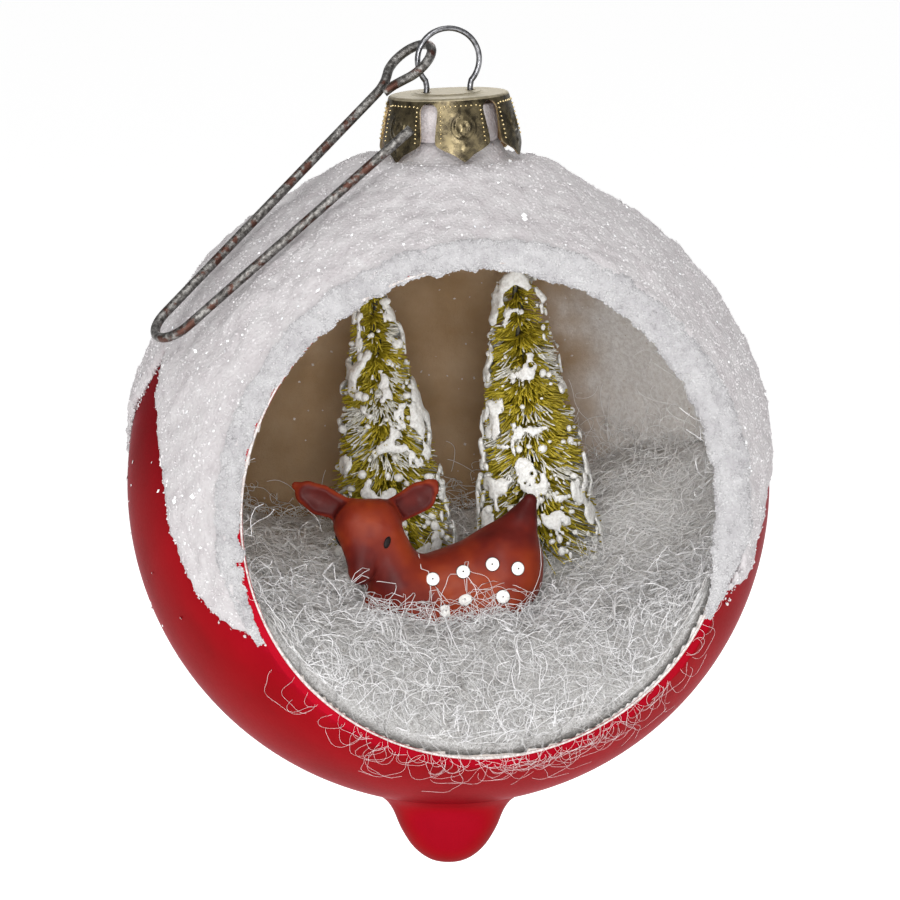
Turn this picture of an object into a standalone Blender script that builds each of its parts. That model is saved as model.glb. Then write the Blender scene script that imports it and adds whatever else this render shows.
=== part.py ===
"""A hanging glass bauble with a round open window and a small winter scene inside it.

The ball is blown glass with a drawn tip below and a neck above. A sprung wire hanger goes
through a crown cap into the neck, and a wire hook hangs on the hanger's ring. Inside are a
foam base, a bed of curly fibre, two bottle-brush trees on twisted wires, and a lying fawn.

Units are metres. The origin is the inside of the ring's top, where the bauble hangs. +Z is
up and the window faces -Y. Shapes are written with the ball's centre as their zero.
"""

import math

import bmesh
import bpy
import numpy as np
from mathutils import Vector

GAP = 0.0003

BALL_RADIUS = 0.0500
GLASS_WALL = 0.0012
WINDOW_Y = -0.0309
NECK_RADIUS = 0.0076
NECK_WALL = 0.0011
NECK_TOP = 0.0596
TIP_DEPTH = 0.0601
SEGMENTS = 36

FROST_OUTER = BALL_RADIUS - GLASS_WALL - GAP
FROST_INNER = FROST_OUTER - 0.00045
INSIDE_RADIUS = FROST_INNER - GAP

CRUST_INNER = BALL_RADIUS + 1.6 * GAP
CRUST_OUTER = 0.0513
CRUST_EDGE = 0.0508
CRUST_COLUMNS = 54
CRUST_ROWS = 9

RING_RADIUS = 0.00485
RING_WIRE = 0.00045
RING_HEIGHT = 0.0662
LEG_SPREAD = 0.0035
BALL_Z = -(RING_HEIGHT + RING_RADIUS - RING_WIRE)
PLATE_TOP = 0.0610
SHEET = 0.0005
CAP_ROLL = math.radians(-2.5)
TABS = 6

HOOK_WIRE = 0.00075
HOOK_START = Vector((-0.010345, 0.000706, 0.06189))
HOOK_ALONG = Vector((-0.718, -0.2116, -0.662)).normalized()
HOOK_ACROSS = Vector((0.3275, -0.9424, -0.055))
EYE_CENTRE = (-0.0057, 0.0009)
EYE_RADIUS = 0.00415
BEND_CENTRE = (0.0497, 0.0043)
BEND_RADIUS = 0.0043
BEND_SWEEP = math.radians(169.5)
RETURN_LENGTH = 0.0454

FOAM_TOP = -0.0330
FOAM_FRONT = -0.0240
STEM_BORE = 0.0013
GLUE_RADIUS = 0.0027
GLUE_DEPTH = 0.0085
STRAND_WIRE = 0.0004
STRAND_OFFSET = 0.00055
STRAND_PITCH = 0.0120
TREE_HEIGHT = 0.0500
TREE_RADIUS = 0.0100
TREE_FEET = {
    "left": (Vector((-0.0061, 0.0134, -0.0120)), Vector((-0.0104, 0.0143, 0.0380))),
    "right": (Vector((0.0163, 0.0080, -0.0120)), Vector((0.0117, 0.0089, 0.0390))),
}

FAWN_TURN = math.radians(-11.1)
FAWN_FLOOR = -0.0203
FAWN_MESH = 0.0010


def clear_scene():
    for obj in list(bpy.data.objects):
        bpy.data.objects.remove(obj, do_unlink=True)


def finish(name, colour, roughness, metallic=0.0):
    """A plain Principled material."""
    material = bpy.data.materials.new(name)
    material.use_nodes = True
    shader = material.node_tree.nodes["Principled BSDF"]
    shader.inputs["Base Color"].default_value = (*colour, 1.0)
    shader.inputs["Roughness"].default_value = roughness
    shader.inputs["Metallic"].default_value = metallic
    material.diffuse_color = (*colour, 1.0)
    return material


def anchor(name, location, parent=None, turn=(0.0, 0.0, 0.0)):
    """An empty that carries parts."""
    empty = bpy.data.objects.new(name, None)
    bpy.context.scene.collection.objects.link(empty)
    empty.location = location
    empty.rotation_euler = turn
    empty.parent = parent
    return empty


def add_mesh(name, points, faces, material, parent):
    """A closed mesh with its faces pointing out."""
    mesh = bpy.data.meshes.new(name)
    mesh.from_pydata([tuple(p) for p in points], [], faces)
    work = bmesh.new()
    work.from_mesh(mesh)
    bmesh.ops.recalc_face_normals(work, faces=work.faces)
    work.to_mesh(mesh)
    work.free()
    if material:
        mesh.materials.append(material)
    mesh.shade_smooth()
    mesh.set_sharp_from_angle(angle=math.radians(40))
    obj = bpy.data.objects.new(name, mesh)
    bpy.context.scene.collection.objects.link(obj)
    obj.parent = parent
    return obj


def turned(name, outline, material, parent, segments=SEGMENTS):
    """A solid of revolution about Z from a closed outline of (radius, height) points."""
    points, rings = [], []
    for radius, height in outline:
        if radius < 1e-9:
            rings.append([len(points)] * segments)
            points.append((0.0, 0.0, height))
            continue
        rings.append(list(range(len(points), len(points) + segments)))
        for k in range(segments):
            turn = 2 * math.pi * k / segments
            points.append((radius * math.cos(turn), radius * math.sin(turn), height))
    faces = []
    for ring, following in zip(rings, rings[1:] + rings[:1]):
        for k in range(segments):
            after = (k + 1) % segments
            corners = (ring[k], ring[after], following[after], following[k])
            corners = list(dict.fromkeys(corners))
            if len(corners) > 2:
                faces.append(corners)
    return add_mesh(name, points, faces, material, parent)


def lofted(name, sections, material, parent, closed=False):
    """A solid through sections with equal numbers of points, as a ring or with end caps."""
    count = len(sections[0])
    points = [point for section in sections for point in section]
    faces = []
    if not closed:
        faces = [list(range(count)), list(range(len(points) - count, len(points)))]
    last = len(sections) if closed else len(sections) - 1
    for k in range(last):
        here, after = k * count, (k + 1) % len(sections) * count
        for j in range(count):
            follow = (j + 1) % count
            faces.append([here + j, here + follow, after + follow, after + j])
    return add_mesh(name, points, faces, material, parent)


def prism(name, outline, place, low, high, parent):
    """A cutter: an outline of (s, t) points, swept from low to high by place(s, t, r)."""
    sections = [[place(s, t, r) for s, t in outline] for r in (low, high)]
    return as_cutter(lofted(name, sections, None, parent))


def box_cutter(name, low, high, parent):
    corners = [(low[0], low[1]), (high[0], low[1]), (high[0], high[1]), (low[0], high[1])]
    return prism(name, corners, lambda s, t, r: (s, t, r), low[2], high[2], parent)


def round_cutter(name, profile, parent, segments=12):
    return as_cutter(turned(name, profile, None, parent, segments))


def as_cutter(obj):
    obj.hide_render = True
    obj.display_type = "WIRE"
    return obj


def combine(obj, other, operation="DIFFERENCE"):
    modifier = obj.modifiers.new(other.name, "BOOLEAN")
    modifier.operation = operation
    modifier.object = other
    modifier.solver = "EXACT"


def wire(name, path, radius, material, parent, location=(0.0, 0.0, 0.0), sides=2):
    """A round wire along a path of points given in the parent's axes."""
    curve = bpy.data.curves.new(name, "CURVE")
    curve.dimensions = "3D"
    curve.bevel_depth = radius
    curve.bevel_resolution = sides
    curve.use_fill_caps = True
    spline = curve.splines.new("POLY")
    spline.points.add(len(path) - 1)
    for point, place in zip(spline.points, path):
        point.co = (*(Vector(place) - Vector(location)), 1.0)
    curve.materials.append(material)
    obj = bpy.data.objects.new(name, curve)
    bpy.context.scene.collection.objects.link(obj)
    obj.parent = parent
    obj.location = location
    return obj


def smooth_path(knots, steps):
    """A Catmull-Rom curve through the knots."""
    knots = [np.array(k, float) for k in knots]
    ends = [2 * knots[0] - knots[1], *knots, 2 * knots[-1] - knots[-2]]
    path = []
    for a, b, c, d in zip(ends, ends[1:], ends[2:], ends[3:]):
        for t in np.linspace(0, 1, steps, endpoint=False):
            path.append(
                0.5
                * (2 * b + (c - a) * t + (2 * a - 5 * b + 4 * c - d) * t**2
                   + (3 * b - a - 3 * c + d) * t**3)
            )
    return [*path, knots[-1]]


def sphere_rows(radius, start, stop, rows):
    """(radius, height) points of a meridian between two angles from +Z, in degrees."""
    angles = np.radians(np.linspace(start, stop, rows))
    return [(radius * math.sin(a), radius * math.cos(a)) for a in angles]


def smoothstep(value, low, high):
    t = min(max((value - low) / (high - low), 0.0), 1.0)
    return t * t * (3 - 2 * t)


def make_glass_ball(centre, window):
    """The blown ball: neck, sphere and drawn tip in one wall, hollow and open at the neck."""
    inner = BALL_RADIUS - GLASS_WALL
    neck_bore = NECK_RADIUS - NECK_WALL
    outline = [
        (NECK_RADIUS, NECK_TOP),
        (NECK_RADIUS, 0.0510),
        (0.0081, 0.0500),
        (0.0094, 0.0493),
        *sphere_rows(BALL_RADIUS, 13.5, 166.5, 17),
        (0.0097, -0.0497),
        (0.0089, -0.0510),
        (0.0076, -0.0541),
        (0.0058, -0.0573),
        (0.0032, -0.0594),
        (0.0, -TIP_DEPTH),
        (0.0, -TIP_DEPTH + 0.0015),
        (0.0045, -0.0562),
        (0.0064, -0.0532),
        (0.0078, -0.0497),
        *sphere_rows(inner, 168.0, 11.0, 15),
        (0.0072, 0.0486),
        (neck_bore, 0.0500),
        (neck_bore, NECK_TOP),
    ]
    ball = turned("glass_ball", outline, finish("red_glass", (0.42, 0.006, 0.014), 0.32), centre)
    combine(ball, window)


def make_inner_frost(centre, window):
    """The frosted coat on the inside wall, open below the neck and above the tip."""
    outline = sphere_rows(FROST_OUTER, 11.5, 168.0, 14)
    outline += sphere_rows(FROST_INNER, 168.0, 11.5, 14)
    coat = turned("inner_frost", outline, finish("frost", (0.24, 0.18, 0.12), 0.8), centre)
    combine(coat, window)


def crust_edge_height(azimuth):
    """Height of the crust's lower edge. Azimuth 0 is the window, and 90 degrees is +X."""
    knots = [
        (-180, -0.002), (-150, 0.004), (-125, -0.004), (-105, 0.006), (-92, 0.014),
        (-84, 0.022), (-76, 0.011), (-69.5, 0.001), (-63, -0.0125), (-53, -0.018),
        (-35, -0.022), (35, -0.020), (44, -0.015), (56, -0.0125), (64, -0.001),
        (72, 0.008), (82, 0.016), (92, 0.010), (110, 0.0), (130, 0.006), (150, -0.004),
        (180, -0.002),
    ]
    return float(np.interp(azimuth, [k[0] for k in knots], [k[1] for k in knots]))


def make_snow_crust(centre, window):
    """The coat of glitter snow over the top of the ball, heaped against the neck."""
    heap = [
        (0.0091, 0.0506), (0.0105, 0.0508), (0.0125, 0.0509), (0.0150, 0.0503),
        (0.0190, 0.0485), (0.0240, 0.0453),
    ]
    foot = [(0.0091, 0.0499), (0.0098, 0.0495), (0.0116, 0.0490), (0.0140, 0.0483)]
    heap_angles = [math.atan2(r, z) for r, z in heap]
    foot_angles = [math.atan2(r, z) for r, z in foot]
    heap_reach = [math.hypot(r, z) for r, z in heap[:-1]] + [CRUST_OUTER]
    foot_reach = [math.hypot(r, z) for r, z in foot[:-1]] + [CRUST_INNER]
    sections = []
    for k in range(CRUST_COLUMNS):
        azimuth = 360 * k / CRUST_COLUMNS - 180
        stop = math.acos(crust_edge_height(azimuth) / CRUST_INNER)
        angles = [*heap_angles, *np.linspace(heap_angles[-1], stop, CRUST_ROWS + 1)[1:]]
        outer = np.interp(angles, heap_angles, heap_reach)
        outer[-1] = CRUST_EDGE
        inner = np.interp(angles, foot_angles, foot_reach)
        turn = math.radians(azimuth)
        around = Vector((math.sin(turn), -math.cos(turn), 0.0))
        rays = [around * math.sin(a) + Vector((0.0, 0.0, math.cos(a))) for a in angles]
        section = [ray * reach for ray, reach in zip(rays, outer)]
        section += [ray * reach for ray, reach in zip(rays[::-1], inner[::-1])]
        sections.append(section)
    white = finish("snow", (0.72, 0.68, 0.70), 0.9)
    combine(lofted("snow_crust", sections, white, centre, closed=True), window)


def make_rim_snow(centre):
    """The bead of snow along the upper part of the window's rim."""
    start, stop, steps = math.radians(-24), math.radians(206), 40
    section = [
        (0.0371, 0.0), (0.0366, -0.0010), (0.0374, -0.0020), (0.0392, -0.0023),
        (0.0408, -0.0017), (0.0413, -0.0006), (0.0410, 0.0),
    ]
    middle = 0.0391
    sections = []
    for k in range(steps + 1):
        share = k / steps
        turn = start + (stop - start) * share
        size = 0.35 + 0.65 * max(math.sin(math.pi * share), 0.0) ** 0.35
        ring = []
        for radius, depth in section:
            reach = middle + (radius - middle) * size
            y = WINDOW_Y - GAP + depth * size
            ring.append((reach * math.cos(turn), y, reach * math.sin(turn)))
        sections.append(ring)
    lofted("rim_snow", sections, finish("rim_snow", (0.70, 0.71, 0.76), 0.9), centre)


def make_cap(centre):
    """The stamped crown cap: a plate with a raised middle and six keyhole-slotted tabs."""
    cap = anchor("cap_seat", (0.0, 0.0, PLATE_TOP), centre, (0.0, CAP_ROLL, 0.0))
    upper = [
        (0.0, 0.0006), (0.0048, 0.0006), (0.0058, 0.0), (0.0089, 0.0), (0.00935, -0.0004),
        (0.0099, -0.0024), (0.0105, -0.0050), (0.0109, -0.0070), (0.0111, -0.0100),
    ]
    lower = [
        (0.0106, -0.0100), (0.0104, -0.0070), (0.0100, -0.0050), (0.0094, -0.0024),
        (0.00885, -SHEET), (0.0056, -SHEET), (0.0046, 0.0006 - SHEET), (0.0, 0.0006 - SHEET),
    ]
    gold = finish("gold", (0.62, 0.50, 0.24), 0.25, 1.0)
    crown = turned("cap_crown", upper + lower, gold, cap, 32)
    hole, neck = 0.0013, -0.00187
    arch = [
        (hole * math.cos(a), neck + hole * math.sin(a))
        for a in np.radians(np.linspace(0, 180, 9))
    ]
    foot = [
        (-0.00095, -0.0061), (-0.0013, -0.0067), (-0.0027, -0.0074), (-0.0042, -0.0081),
        (-0.0053, -0.0089), (-0.0062, -0.0093), (-0.0062, -0.0110),
    ]
    slot = arch + foot + [(-s, t) for s, t in foot[::-1]]
    for k in range(TABS):
        turn = 2 * math.pi * k / TABS

        def place(s, t, r, turn=turn):
            x = r * math.cos(turn) - s * math.sin(turn)
            return (x, r * math.sin(turn) + s * math.cos(turn), t)

        combine(crown, prism(f"cap_slot_{k}", slot, place, 0.0080, 0.0135, cap))
    for side in (-1, 1):
        seat = anchor("leg_hole", (side * LEG_SPREAD, 0.0, 0.0), cap, (0.0, 0.0, 0.13))
        profile = [(0.0, 0.002), (0.00085, 0.002), (0.00085, -0.002), (0.0, -0.002)]
        combine(crown, round_cutter(f"cap_hole_{side}", profile, seat))


def make_hanger(centre):
    """The sprung wire: a ring above the cap and two legs that press outward in the neck."""
    low = math.radians(-48)
    angles = np.linspace(low, math.pi - low, 24)
    ring = [
        (RING_RADIUS * math.cos(a), 0.0, RING_HEIGHT + RING_RADIUS * math.sin(a))
        for a in angles
    ]
    leg = [
        (LEG_SPREAD - 0.0001, 0.0, PLATE_TOP + 0.0004), (LEG_SPREAD + 0.0002, 0.0, 0.0598),
        (0.0044, 0.0, 0.0560), (0.0050, 0.0, 0.0520), (0.0052, 0.0, 0.0485),
    ]
    right = smooth_path([ring[0], *leg], 2)[1:]
    left = [(-x, y, z) for x, y, z in right]
    steel = finish("hanger_steel", (0.20, 0.20, 0.21), 0.35, 1.0)
    path = right[::-1] + ring + left
    wire("hanger_loop", path, RING_WIRE, steel, centre, (0.0, 0.0, PLATE_TOP))


def hook_path():
    """The hook's centreline: closed eye, straight shank, bend, and a return leg that opens."""
    eye = [
        (EYE_CENTRE[0] + EYE_RADIUS * math.cos(a), EYE_CENTRE[1] + EYE_RADIUS * math.sin(a))
        for a in np.radians(np.linspace(40, 320, 24))
    ]
    start = [(-0.0002, 0.00195), (-0.0013, 0.0025)]
    joining = [(-0.0013, -0.0008), (0.0004, -0.0001), (0.0025, 0.0)]
    shank = [(u, 0.0) for u in np.linspace(0.006, BEND_CENTRE[0] - 0.002, 8)]
    bend = [
        (BEND_CENTRE[0] + BEND_RADIUS * math.sin(a), BEND_CENTRE[1] - BEND_RADIUS * math.cos(a))
        for a in np.linspace(0, BEND_SWEEP, 12)
    ]
    towards = (math.cos(BEND_SWEEP), math.sin(BEND_SWEEP))
    back = [
        (bend[-1][0] + towards[0] * d, bend[-1][1] + towards[1] * d)
        for d in np.linspace(0.003, RETURN_LENGTH, 10)
    ]
    flat = start + eye + joining + shank + bend + back
    across = (HOOK_ACROSS - HOOK_ALONG * HOOK_ACROSS.dot(HOOK_ALONG)).normalized()
    return [HOOK_START + HOOK_ALONG * u + across * v for u, v in flat]


def make_hook(centre):
    rust = finish("hook_steel", (0.17, 0.15, 0.14), 0.45, 1.0)
    wire("ornament_hook", hook_path(), HOOK_WIRE, rust, centre, (0.0, 0.0, RING_HEIGHT))


def tree_frame(side, centre):
    """An empty at a tree's foot whose Z runs up its stem."""
    foot, top = TREE_FEET[side]
    lean = (top - foot).to_track_quat("Z", "Y").to_euler()
    return anchor(f"tree_{side}", foot, centre, lean)


def strand(phase, bottom, top):
    """One wire of a twisted pair."""
    steps = int((top - bottom) / STRAND_PITCH * 7)
    path = []
    for k in range(steps + 1):
        z = bottom + (top - bottom) * k / steps
        turn = phase + 2 * math.pi * z / STRAND_PITCH
        path.append((STRAND_OFFSET * math.cos(turn), STRAND_OFFSET * math.sin(turn), z))
    return path


def cone_outline(grow):
    """A tree's envelope with a rounded tip, grown by a clearance."""
    rise = [
        (1.0, 0.0), (1.02, 0.05), (0.86, 0.25), (0.66, 0.50), (0.42, 0.78), (0.26, 0.93),
        (0.12, 0.985),
    ]
    side = [(TREE_RADIUS * r + grow, TREE_HEIGHT * t) for r, t in rise]
    side[0] = (side[0][0], -grow)
    return [*side, (0.0, TREE_HEIGHT + grow)]


def make_tree(side, frame, glue_bottom):
    green = finish(f"bristle_{side}", (0.23, 0.20, 0.03), 0.7)
    dark = finish(f"stem_{side}", (0.05, 0.05, 0.04), 0.5, 0.6)
    bore_top = TREE_HEIGHT - 0.0050
    outline = [(STEM_BORE, 0.0), *cone_outline(0.0), (0.0, bore_top), (STEM_BORE, bore_top)]
    turned(f"tree_{side}_bristles", outline, green, frame, 20)
    for letter, phase in (("a", 0.0), ("b", math.pi)):
        path = strand(phase, glue_bottom + GAP, bore_top - GAP)
        wire(f"tree_{side}_wire_{letter}", path, STRAND_WIRE, dark, frame, sides=1)


def glue_place(frame):
    """Heights of a glue sleeve's ends along a leaning stem."""
    top = (FOAM_TOP - frame.location.z) - 0.0006
    return top - GLUE_DEPTH, top


def make_glue(side, frame):
    low, high = glue_place(frame)
    outline = [(GLUE_RADIUS, high), (GLUE_RADIUS, low), (STEM_BORE, low), (STEM_BORE, high)]
    clear = finish(f"glue_{side}", (0.75, 0.72, 0.62), 0.3)
    turned(f"tree_{side}_glue", outline, clear, frame, 16)


def make_foam(centre, frames):
    """The foam plug in the bottom of the ball that the stems are pushed into."""
    outline = [(0.0, 0.0), *sphere_rows(INSIDE_RADIUS, 90, 168, 12), (0.0, -0.0464)]
    white = finish("foam", (0.78, 0.78, 0.76), 0.9)
    foam = turned("foam_base", outline, white, centre)
    top = box_cutter("foam_level", (-0.06, -0.06, FOAM_TOP), (0.06, 0.06, 0.01), centre)
    front = box_cutter("foam_face", (-0.06, -0.06, -0.06), (0.06, FOAM_FRONT, 0.01), centre)
    combine(foam, top)
    combine(foam, front)
    for side, frame in frames.items():
        low, high = glue_place(frame)
        radius = GLUE_RADIUS + GAP
        bore = [(0.0, high + 0.004), (radius, high + 0.004), (radius, low - GAP), (0.0, low - GAP)]
        combine(foam, round_cutter(f"foam_bore_{side}", bore, frame, 16))


def bed_height(x, y):
    """Top of the fibre: low along the rim, higher behind the fawn and on the right."""
    rim = 0.0008 - math.sqrt(max(0.0370**2 - x * x, 0.0120**2))
    inside = -0.0185 + 0.005 * smoothstep(y, -0.0140, 0.0120) + 0.006 * (x / 0.035) ** 2
    drift = 0.006 * smoothstep(x, 0.008, 0.030) * smoothstep(y, 0.0, 0.020)
    share = smoothstep(y, WINDOW_Y, -0.0150)
    return rim * (1 - share) + (inside + drift) * share


def make_bed(centre, frames):
    """The bed of curly fibre that fills the bottom of the ball."""
    low, high, cells, depth = -0.0490, 0.0490, 18, -0.0560
    front = WINDOW_Y + GAP
    xs = np.linspace(low, high, cells + 1)
    ys = np.linspace(front, high, cells)
    top = [(x, y, bed_height(x, y)) for y in ys for x in xs]
    bottom = [(x, y, depth) for y in ys for x in xs]
    wide, count = len(xs), len(top)
    faces = []
    for j in range(len(ys) - 1):
        for i in range(wide - 1):
            a, b = j * wide + i, (j + 1) * wide + i
            faces.append([a, a + 1, b + 1, b])
            faces.append([count + b, count + b + 1, count + a + 1, count + a])
    edge = [(i, 0) for i in range(wide - 1)] + [(wide - 1, j) for j in range(len(ys) - 1)]
    edge += [(i, len(ys) - 1) for i in range(wide - 1, 0, -1)]
    edge += [(0, j) for j in range(len(ys) - 1, 0, -1)]
    loop = [j * wide + i for i, j in edge]
    for a, b in zip(loop, loop[1:] + loop[:1]):
        faces.append([a, b, count + b, count + a])
    white = finish("fibre", (0.74, 0.74, 0.76), 0.95)
    bed = add_mesh("fibre_bed", top + bottom, faces, white, centre)
    outline = [(0.0, INSIDE_RADIUS), *sphere_rows(INSIDE_RADIUS, 12, 168, 18), (0.0, -0.0464)]
    combine(bed, as_cutter(turned("bed_hollow", outline, None, centre)), "INTERSECT")
    under = box_cutter(
        "bed_underside", (-0.06, FOAM_FRONT - GAP, -0.06), (0.06, 0.06, FOAM_TOP + GAP), centre
    )
    combine(bed, under)
    for side, frame in frames.items():
        envelope = cone_outline(2 * GAP)
        stem = [(STEM_BORE, -2 * GAP), (STEM_BORE, -0.0300), (0.0, -0.0300)]
        outline = envelope[::-1] + stem
        combine(bed, round_cutter(f"bed_tree_{side}", outline, frame, 20))
    return bed


def limb(work, spheres, flatten=1.0):
    """Adds the hull of some spheres, given as (x, y, z, radius) in millimetres."""
    points = []
    for x, y, z, radius in spheres:
        for row in range(1, 8):
            tilt = math.pi * row / 8
            for k in range(12):
                turn = 2 * math.pi * k / 12
                away = Vector((math.cos(turn), math.sin(turn) * flatten, 0)) * math.sin(tilt)
                away.z = math.cos(tilt)
                points.append((Vector((x, y, z)) + away * radius) * 0.001)
    hull = bmesh.new()
    for point in points:
        hull.verts.new(point)
    made = bmesh.ops.convex_hull(hull, input=hull.verts)
    spare = {v for v in made["geom_interior"] + made["geom_unused"]}
    bmesh.ops.delete(hull, geom=list(spare), context="VERTS")
    bmesh.ops.recalc_face_normals(hull, faces=hull.faces)
    mesh = bpy.data.meshes.new("limb")
    hull.to_mesh(mesh)
    hull.free()
    work.from_mesh(mesh)
    bpy.data.meshes.remove(mesh)


def make_fawn(place, bed):
    """The lying fawn, facing -X of its own axes, and the dab of glue that holds it."""
    work = bmesh.new()
    limb(work, [(-7, -12, -15.0, 4.9), (0, -10.5, -14.8, 5.4), (8, -10, -12.6, 6.0)])
    limb(work, [(8.0, -10, -11.0, 6.0), (6.0, -10.5, -14.0, 6.0), (9.0, -10, -14.0, 5.3)])
    limb(work, [(10.6, -9.3, -6.8, 3.0), (12.3, -8.4, -1.8, 1.1), (8.5, -9.6, -8.0, 4.6)])
    limb(work, [(-8.5, -13, -13.0, 4.9), (-10.6, -14, -6.5, 4.2)])
    limb(work, [(-12.0, -14.4, -4.9, 4.7), (-13.3, -18.2, -9.8, 2.0)])
    limb(work, [(-15.0, -14, -3.4, 1.9), (-19.8, -13.4, -0.4, 2.3), (-23.0, -13, 1.2, 1.0)], 0.5)
    limb(work, [(-8.8, -12.6, -3.0, 1.9), (-5.0, -10.8, -0.6, 2.2), (-3.0, -9.6, 0.7, 1.2)], 0.5)
    limb(work, [(-11.0, -14.5, -17.6, 2.3), (-2.0, -16.8, -18.2, 1.9)])
    limb(work, [(8.5, -14.0, -15.8, 3.6), (1.5, -16.5, -18.0, 2.1)])
    mesh = bpy.data.meshes.new("fawn")
    work.to_mesh(mesh)
    work.free()
    mesh.materials.append(finish("fawn", (0.36, 0.09, 0.03), 0.45))
    mesh.shade_smooth()
    fawn = bpy.data.objects.new("fawn", mesh)
    bpy.context.scene.collection.objects.link(fawn)
    fawn.parent = place
    remesh = fawn.modifiers.new("one_skin", "REMESH")
    remesh.mode = "VOXEL"
    remesh.voxel_size = FAWN_MESH
    soften = fawn.modifiers.new("soften", "SMOOTH")
    soften.iterations = 3
    fewer = fawn.modifiers.new("fewer_faces", "DECIMATE")
    fewer.ratio = 0.33

    seat = anchor("fawn_seat", (0.0, -0.0125, FAWN_FLOOR), place)
    ring = [(0.0176 * math.cos(a), 0.0088 * math.sin(a)) for a in np.linspace(0, 2 * math.pi, 25)]
    pocket = prism("bed_pocket", ring[:-1], lambda s, t, r: (s, t, r), -0.0014, 0.03, seat)
    combine(bed, pocket)
    dab = [(0.0, 0.0), (0.0052, 0.0), (0.0060, -0.0005), (0.0056, -0.0011), (0.0, -0.0011)]
    turned("fawn_glue", dab, finish("fawn_glue", (0.75, 0.72, 0.62), 0.3), seat, 16)


def build():
    clear_scene()
    centre = anchor("ball_centre", (0.0, 0.0, BALL_Z))
    window = box_cutter("window", (-0.07, -0.09, -0.07), (0.07, WINDOW_Y, 0.07), centre)
    frames = {side: tree_frame(side, centre) for side in TREE_FEET}
    fawn_place = anchor("fawn_place", (0.0, 0.0, 0.0), centre, (0.0, 0.0, FAWN_TURN))
    make_glass_ball(centre, window)
    make_inner_frost(centre, window)
    make_snow_crust(centre, window)
    make_rim_snow(centre)
    make_cap(centre)
    make_hanger(centre)
    make_hook(centre)
    make_foam(centre, frames)
    bed = make_bed(centre, frames)
    for side, frame in frames.items():
        make_tree(side, frame, glue_place(frame)[0])
        make_glue(side, frame)
    make_fawn(fawn_place, bed)


build()
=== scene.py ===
"""The looks of the hanging snow scene bauble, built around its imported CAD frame.

Shapes are worked out in millimetres from the ball's centre: x to the right of someone who
looks in through the window, y away from them and z up. add_piece turns them into metres in
the frame's own axes.
"""

import itertools
import math

import bmesh
import bpy
import numpy as np
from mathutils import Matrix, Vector


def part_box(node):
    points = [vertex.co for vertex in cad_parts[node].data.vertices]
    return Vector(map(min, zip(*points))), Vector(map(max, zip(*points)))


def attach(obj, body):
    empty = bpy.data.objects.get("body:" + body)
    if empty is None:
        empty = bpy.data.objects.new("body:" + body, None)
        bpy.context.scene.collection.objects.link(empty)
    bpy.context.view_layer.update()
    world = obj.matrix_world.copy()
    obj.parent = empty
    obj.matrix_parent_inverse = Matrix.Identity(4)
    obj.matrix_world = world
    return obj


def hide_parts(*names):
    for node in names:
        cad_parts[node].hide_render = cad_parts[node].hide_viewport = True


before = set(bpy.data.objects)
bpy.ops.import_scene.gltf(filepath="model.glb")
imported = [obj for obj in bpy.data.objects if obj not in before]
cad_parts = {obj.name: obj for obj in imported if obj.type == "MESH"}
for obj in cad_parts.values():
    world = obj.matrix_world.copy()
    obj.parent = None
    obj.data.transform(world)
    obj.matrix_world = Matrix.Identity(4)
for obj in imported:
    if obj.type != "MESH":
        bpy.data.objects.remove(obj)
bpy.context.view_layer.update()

MM = 0.001

# The ball, from the frame: its sides touch the box in x and its back touches it in y.
BALL_LOW, BALL_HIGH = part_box("glass_ball")
BALL_RADIUS = (BALL_HIGH.x - BALL_LOW.x) / 2 / MM
TIP_DEPTH, TIP_WALL = 60.1, 1.5
CENTRE = Vector((0.0, BALL_HIGH.y - BALL_RADIUS * MM, BALL_LOW.z + TIP_DEPTH * MM))
WINDOW_Y = (BALL_LOW.y - CENTRE.y) / MM
GLASS_WALL = 1.2
RIM_RADIUS = math.sqrt(BALL_RADIUS**2 - WINDOW_Y**2)
RIM_ANGLE = math.asin(RIM_RADIUS / BALL_RADIUS)
INSIDE_RADIUS = 47.6

# The front view: the camera's turn about the ball and its rise above level.
VIEW_TURN = math.radians(-11.1)
VIEW_RISE = math.radians(8.0)

FAWN_TURN = VIEW_TURN


# ---------------------------------------------------------------- numbers and meshes


def noise(points, size, seed):
    """Smooth noise from 0 to 1 that varies over about size millimetres."""
    table = np.random.default_rng(seed).random((32, 32, 32))
    where = np.asarray(points, float) / size
    cell = np.floor(where).astype(int)
    part = where - cell
    part = part * part * (3 - 2 * part)
    total = np.zeros(where.shape[:-1])
    for corner in itertools.product((0, 1), repeat=3):
        i, j, k = np.moveaxis((cell + corner) % 32, -1, 0)
        weight = np.prod(np.where(np.array(corner) == 1, part, 1 - part), axis=-1)
        total += table[i, j, k] * weight
    return total


def smoothstep(value, low, high):
    """0 below low and 1 above high, with a smooth rise between them."""
    t = np.clip((value - low) / (high - low), 0.0, 1.0)
    return t * t * (3 - 2 * t)


def unit(vectors):
    """The same directions, each with a length of 1."""
    length = np.linalg.norm(vectors, axis=-1, keepdims=True)
    return vectors / np.maximum(length, 1e-9)


def xyz(x, y, z):
    """Points from their three coordinates."""
    return np.stack([x, y, z], axis=-1)


def full_turn(count):
    """Angles spaced evenly round a circle."""
    return np.linspace(0, 2 * math.pi, count, endpoint=False)


def spin(points, angle):
    """Points turned about Z."""
    x, y, z = np.moveaxis(np.asarray(points, float), -1, 0)
    c, s = math.cos(angle), math.sin(angle)
    return xyz(c * x - s * y, s * x + c * y, z)


def on_ball(azimuth, polar, reach):
    """Points by azimuth from the window, polar angle from +Z and distance from the centre."""
    flat = reach * np.sin(polar)
    return xyz(flat * np.sin(azimuth), -flat * np.cos(azimuth), reach * np.cos(polar))


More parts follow.
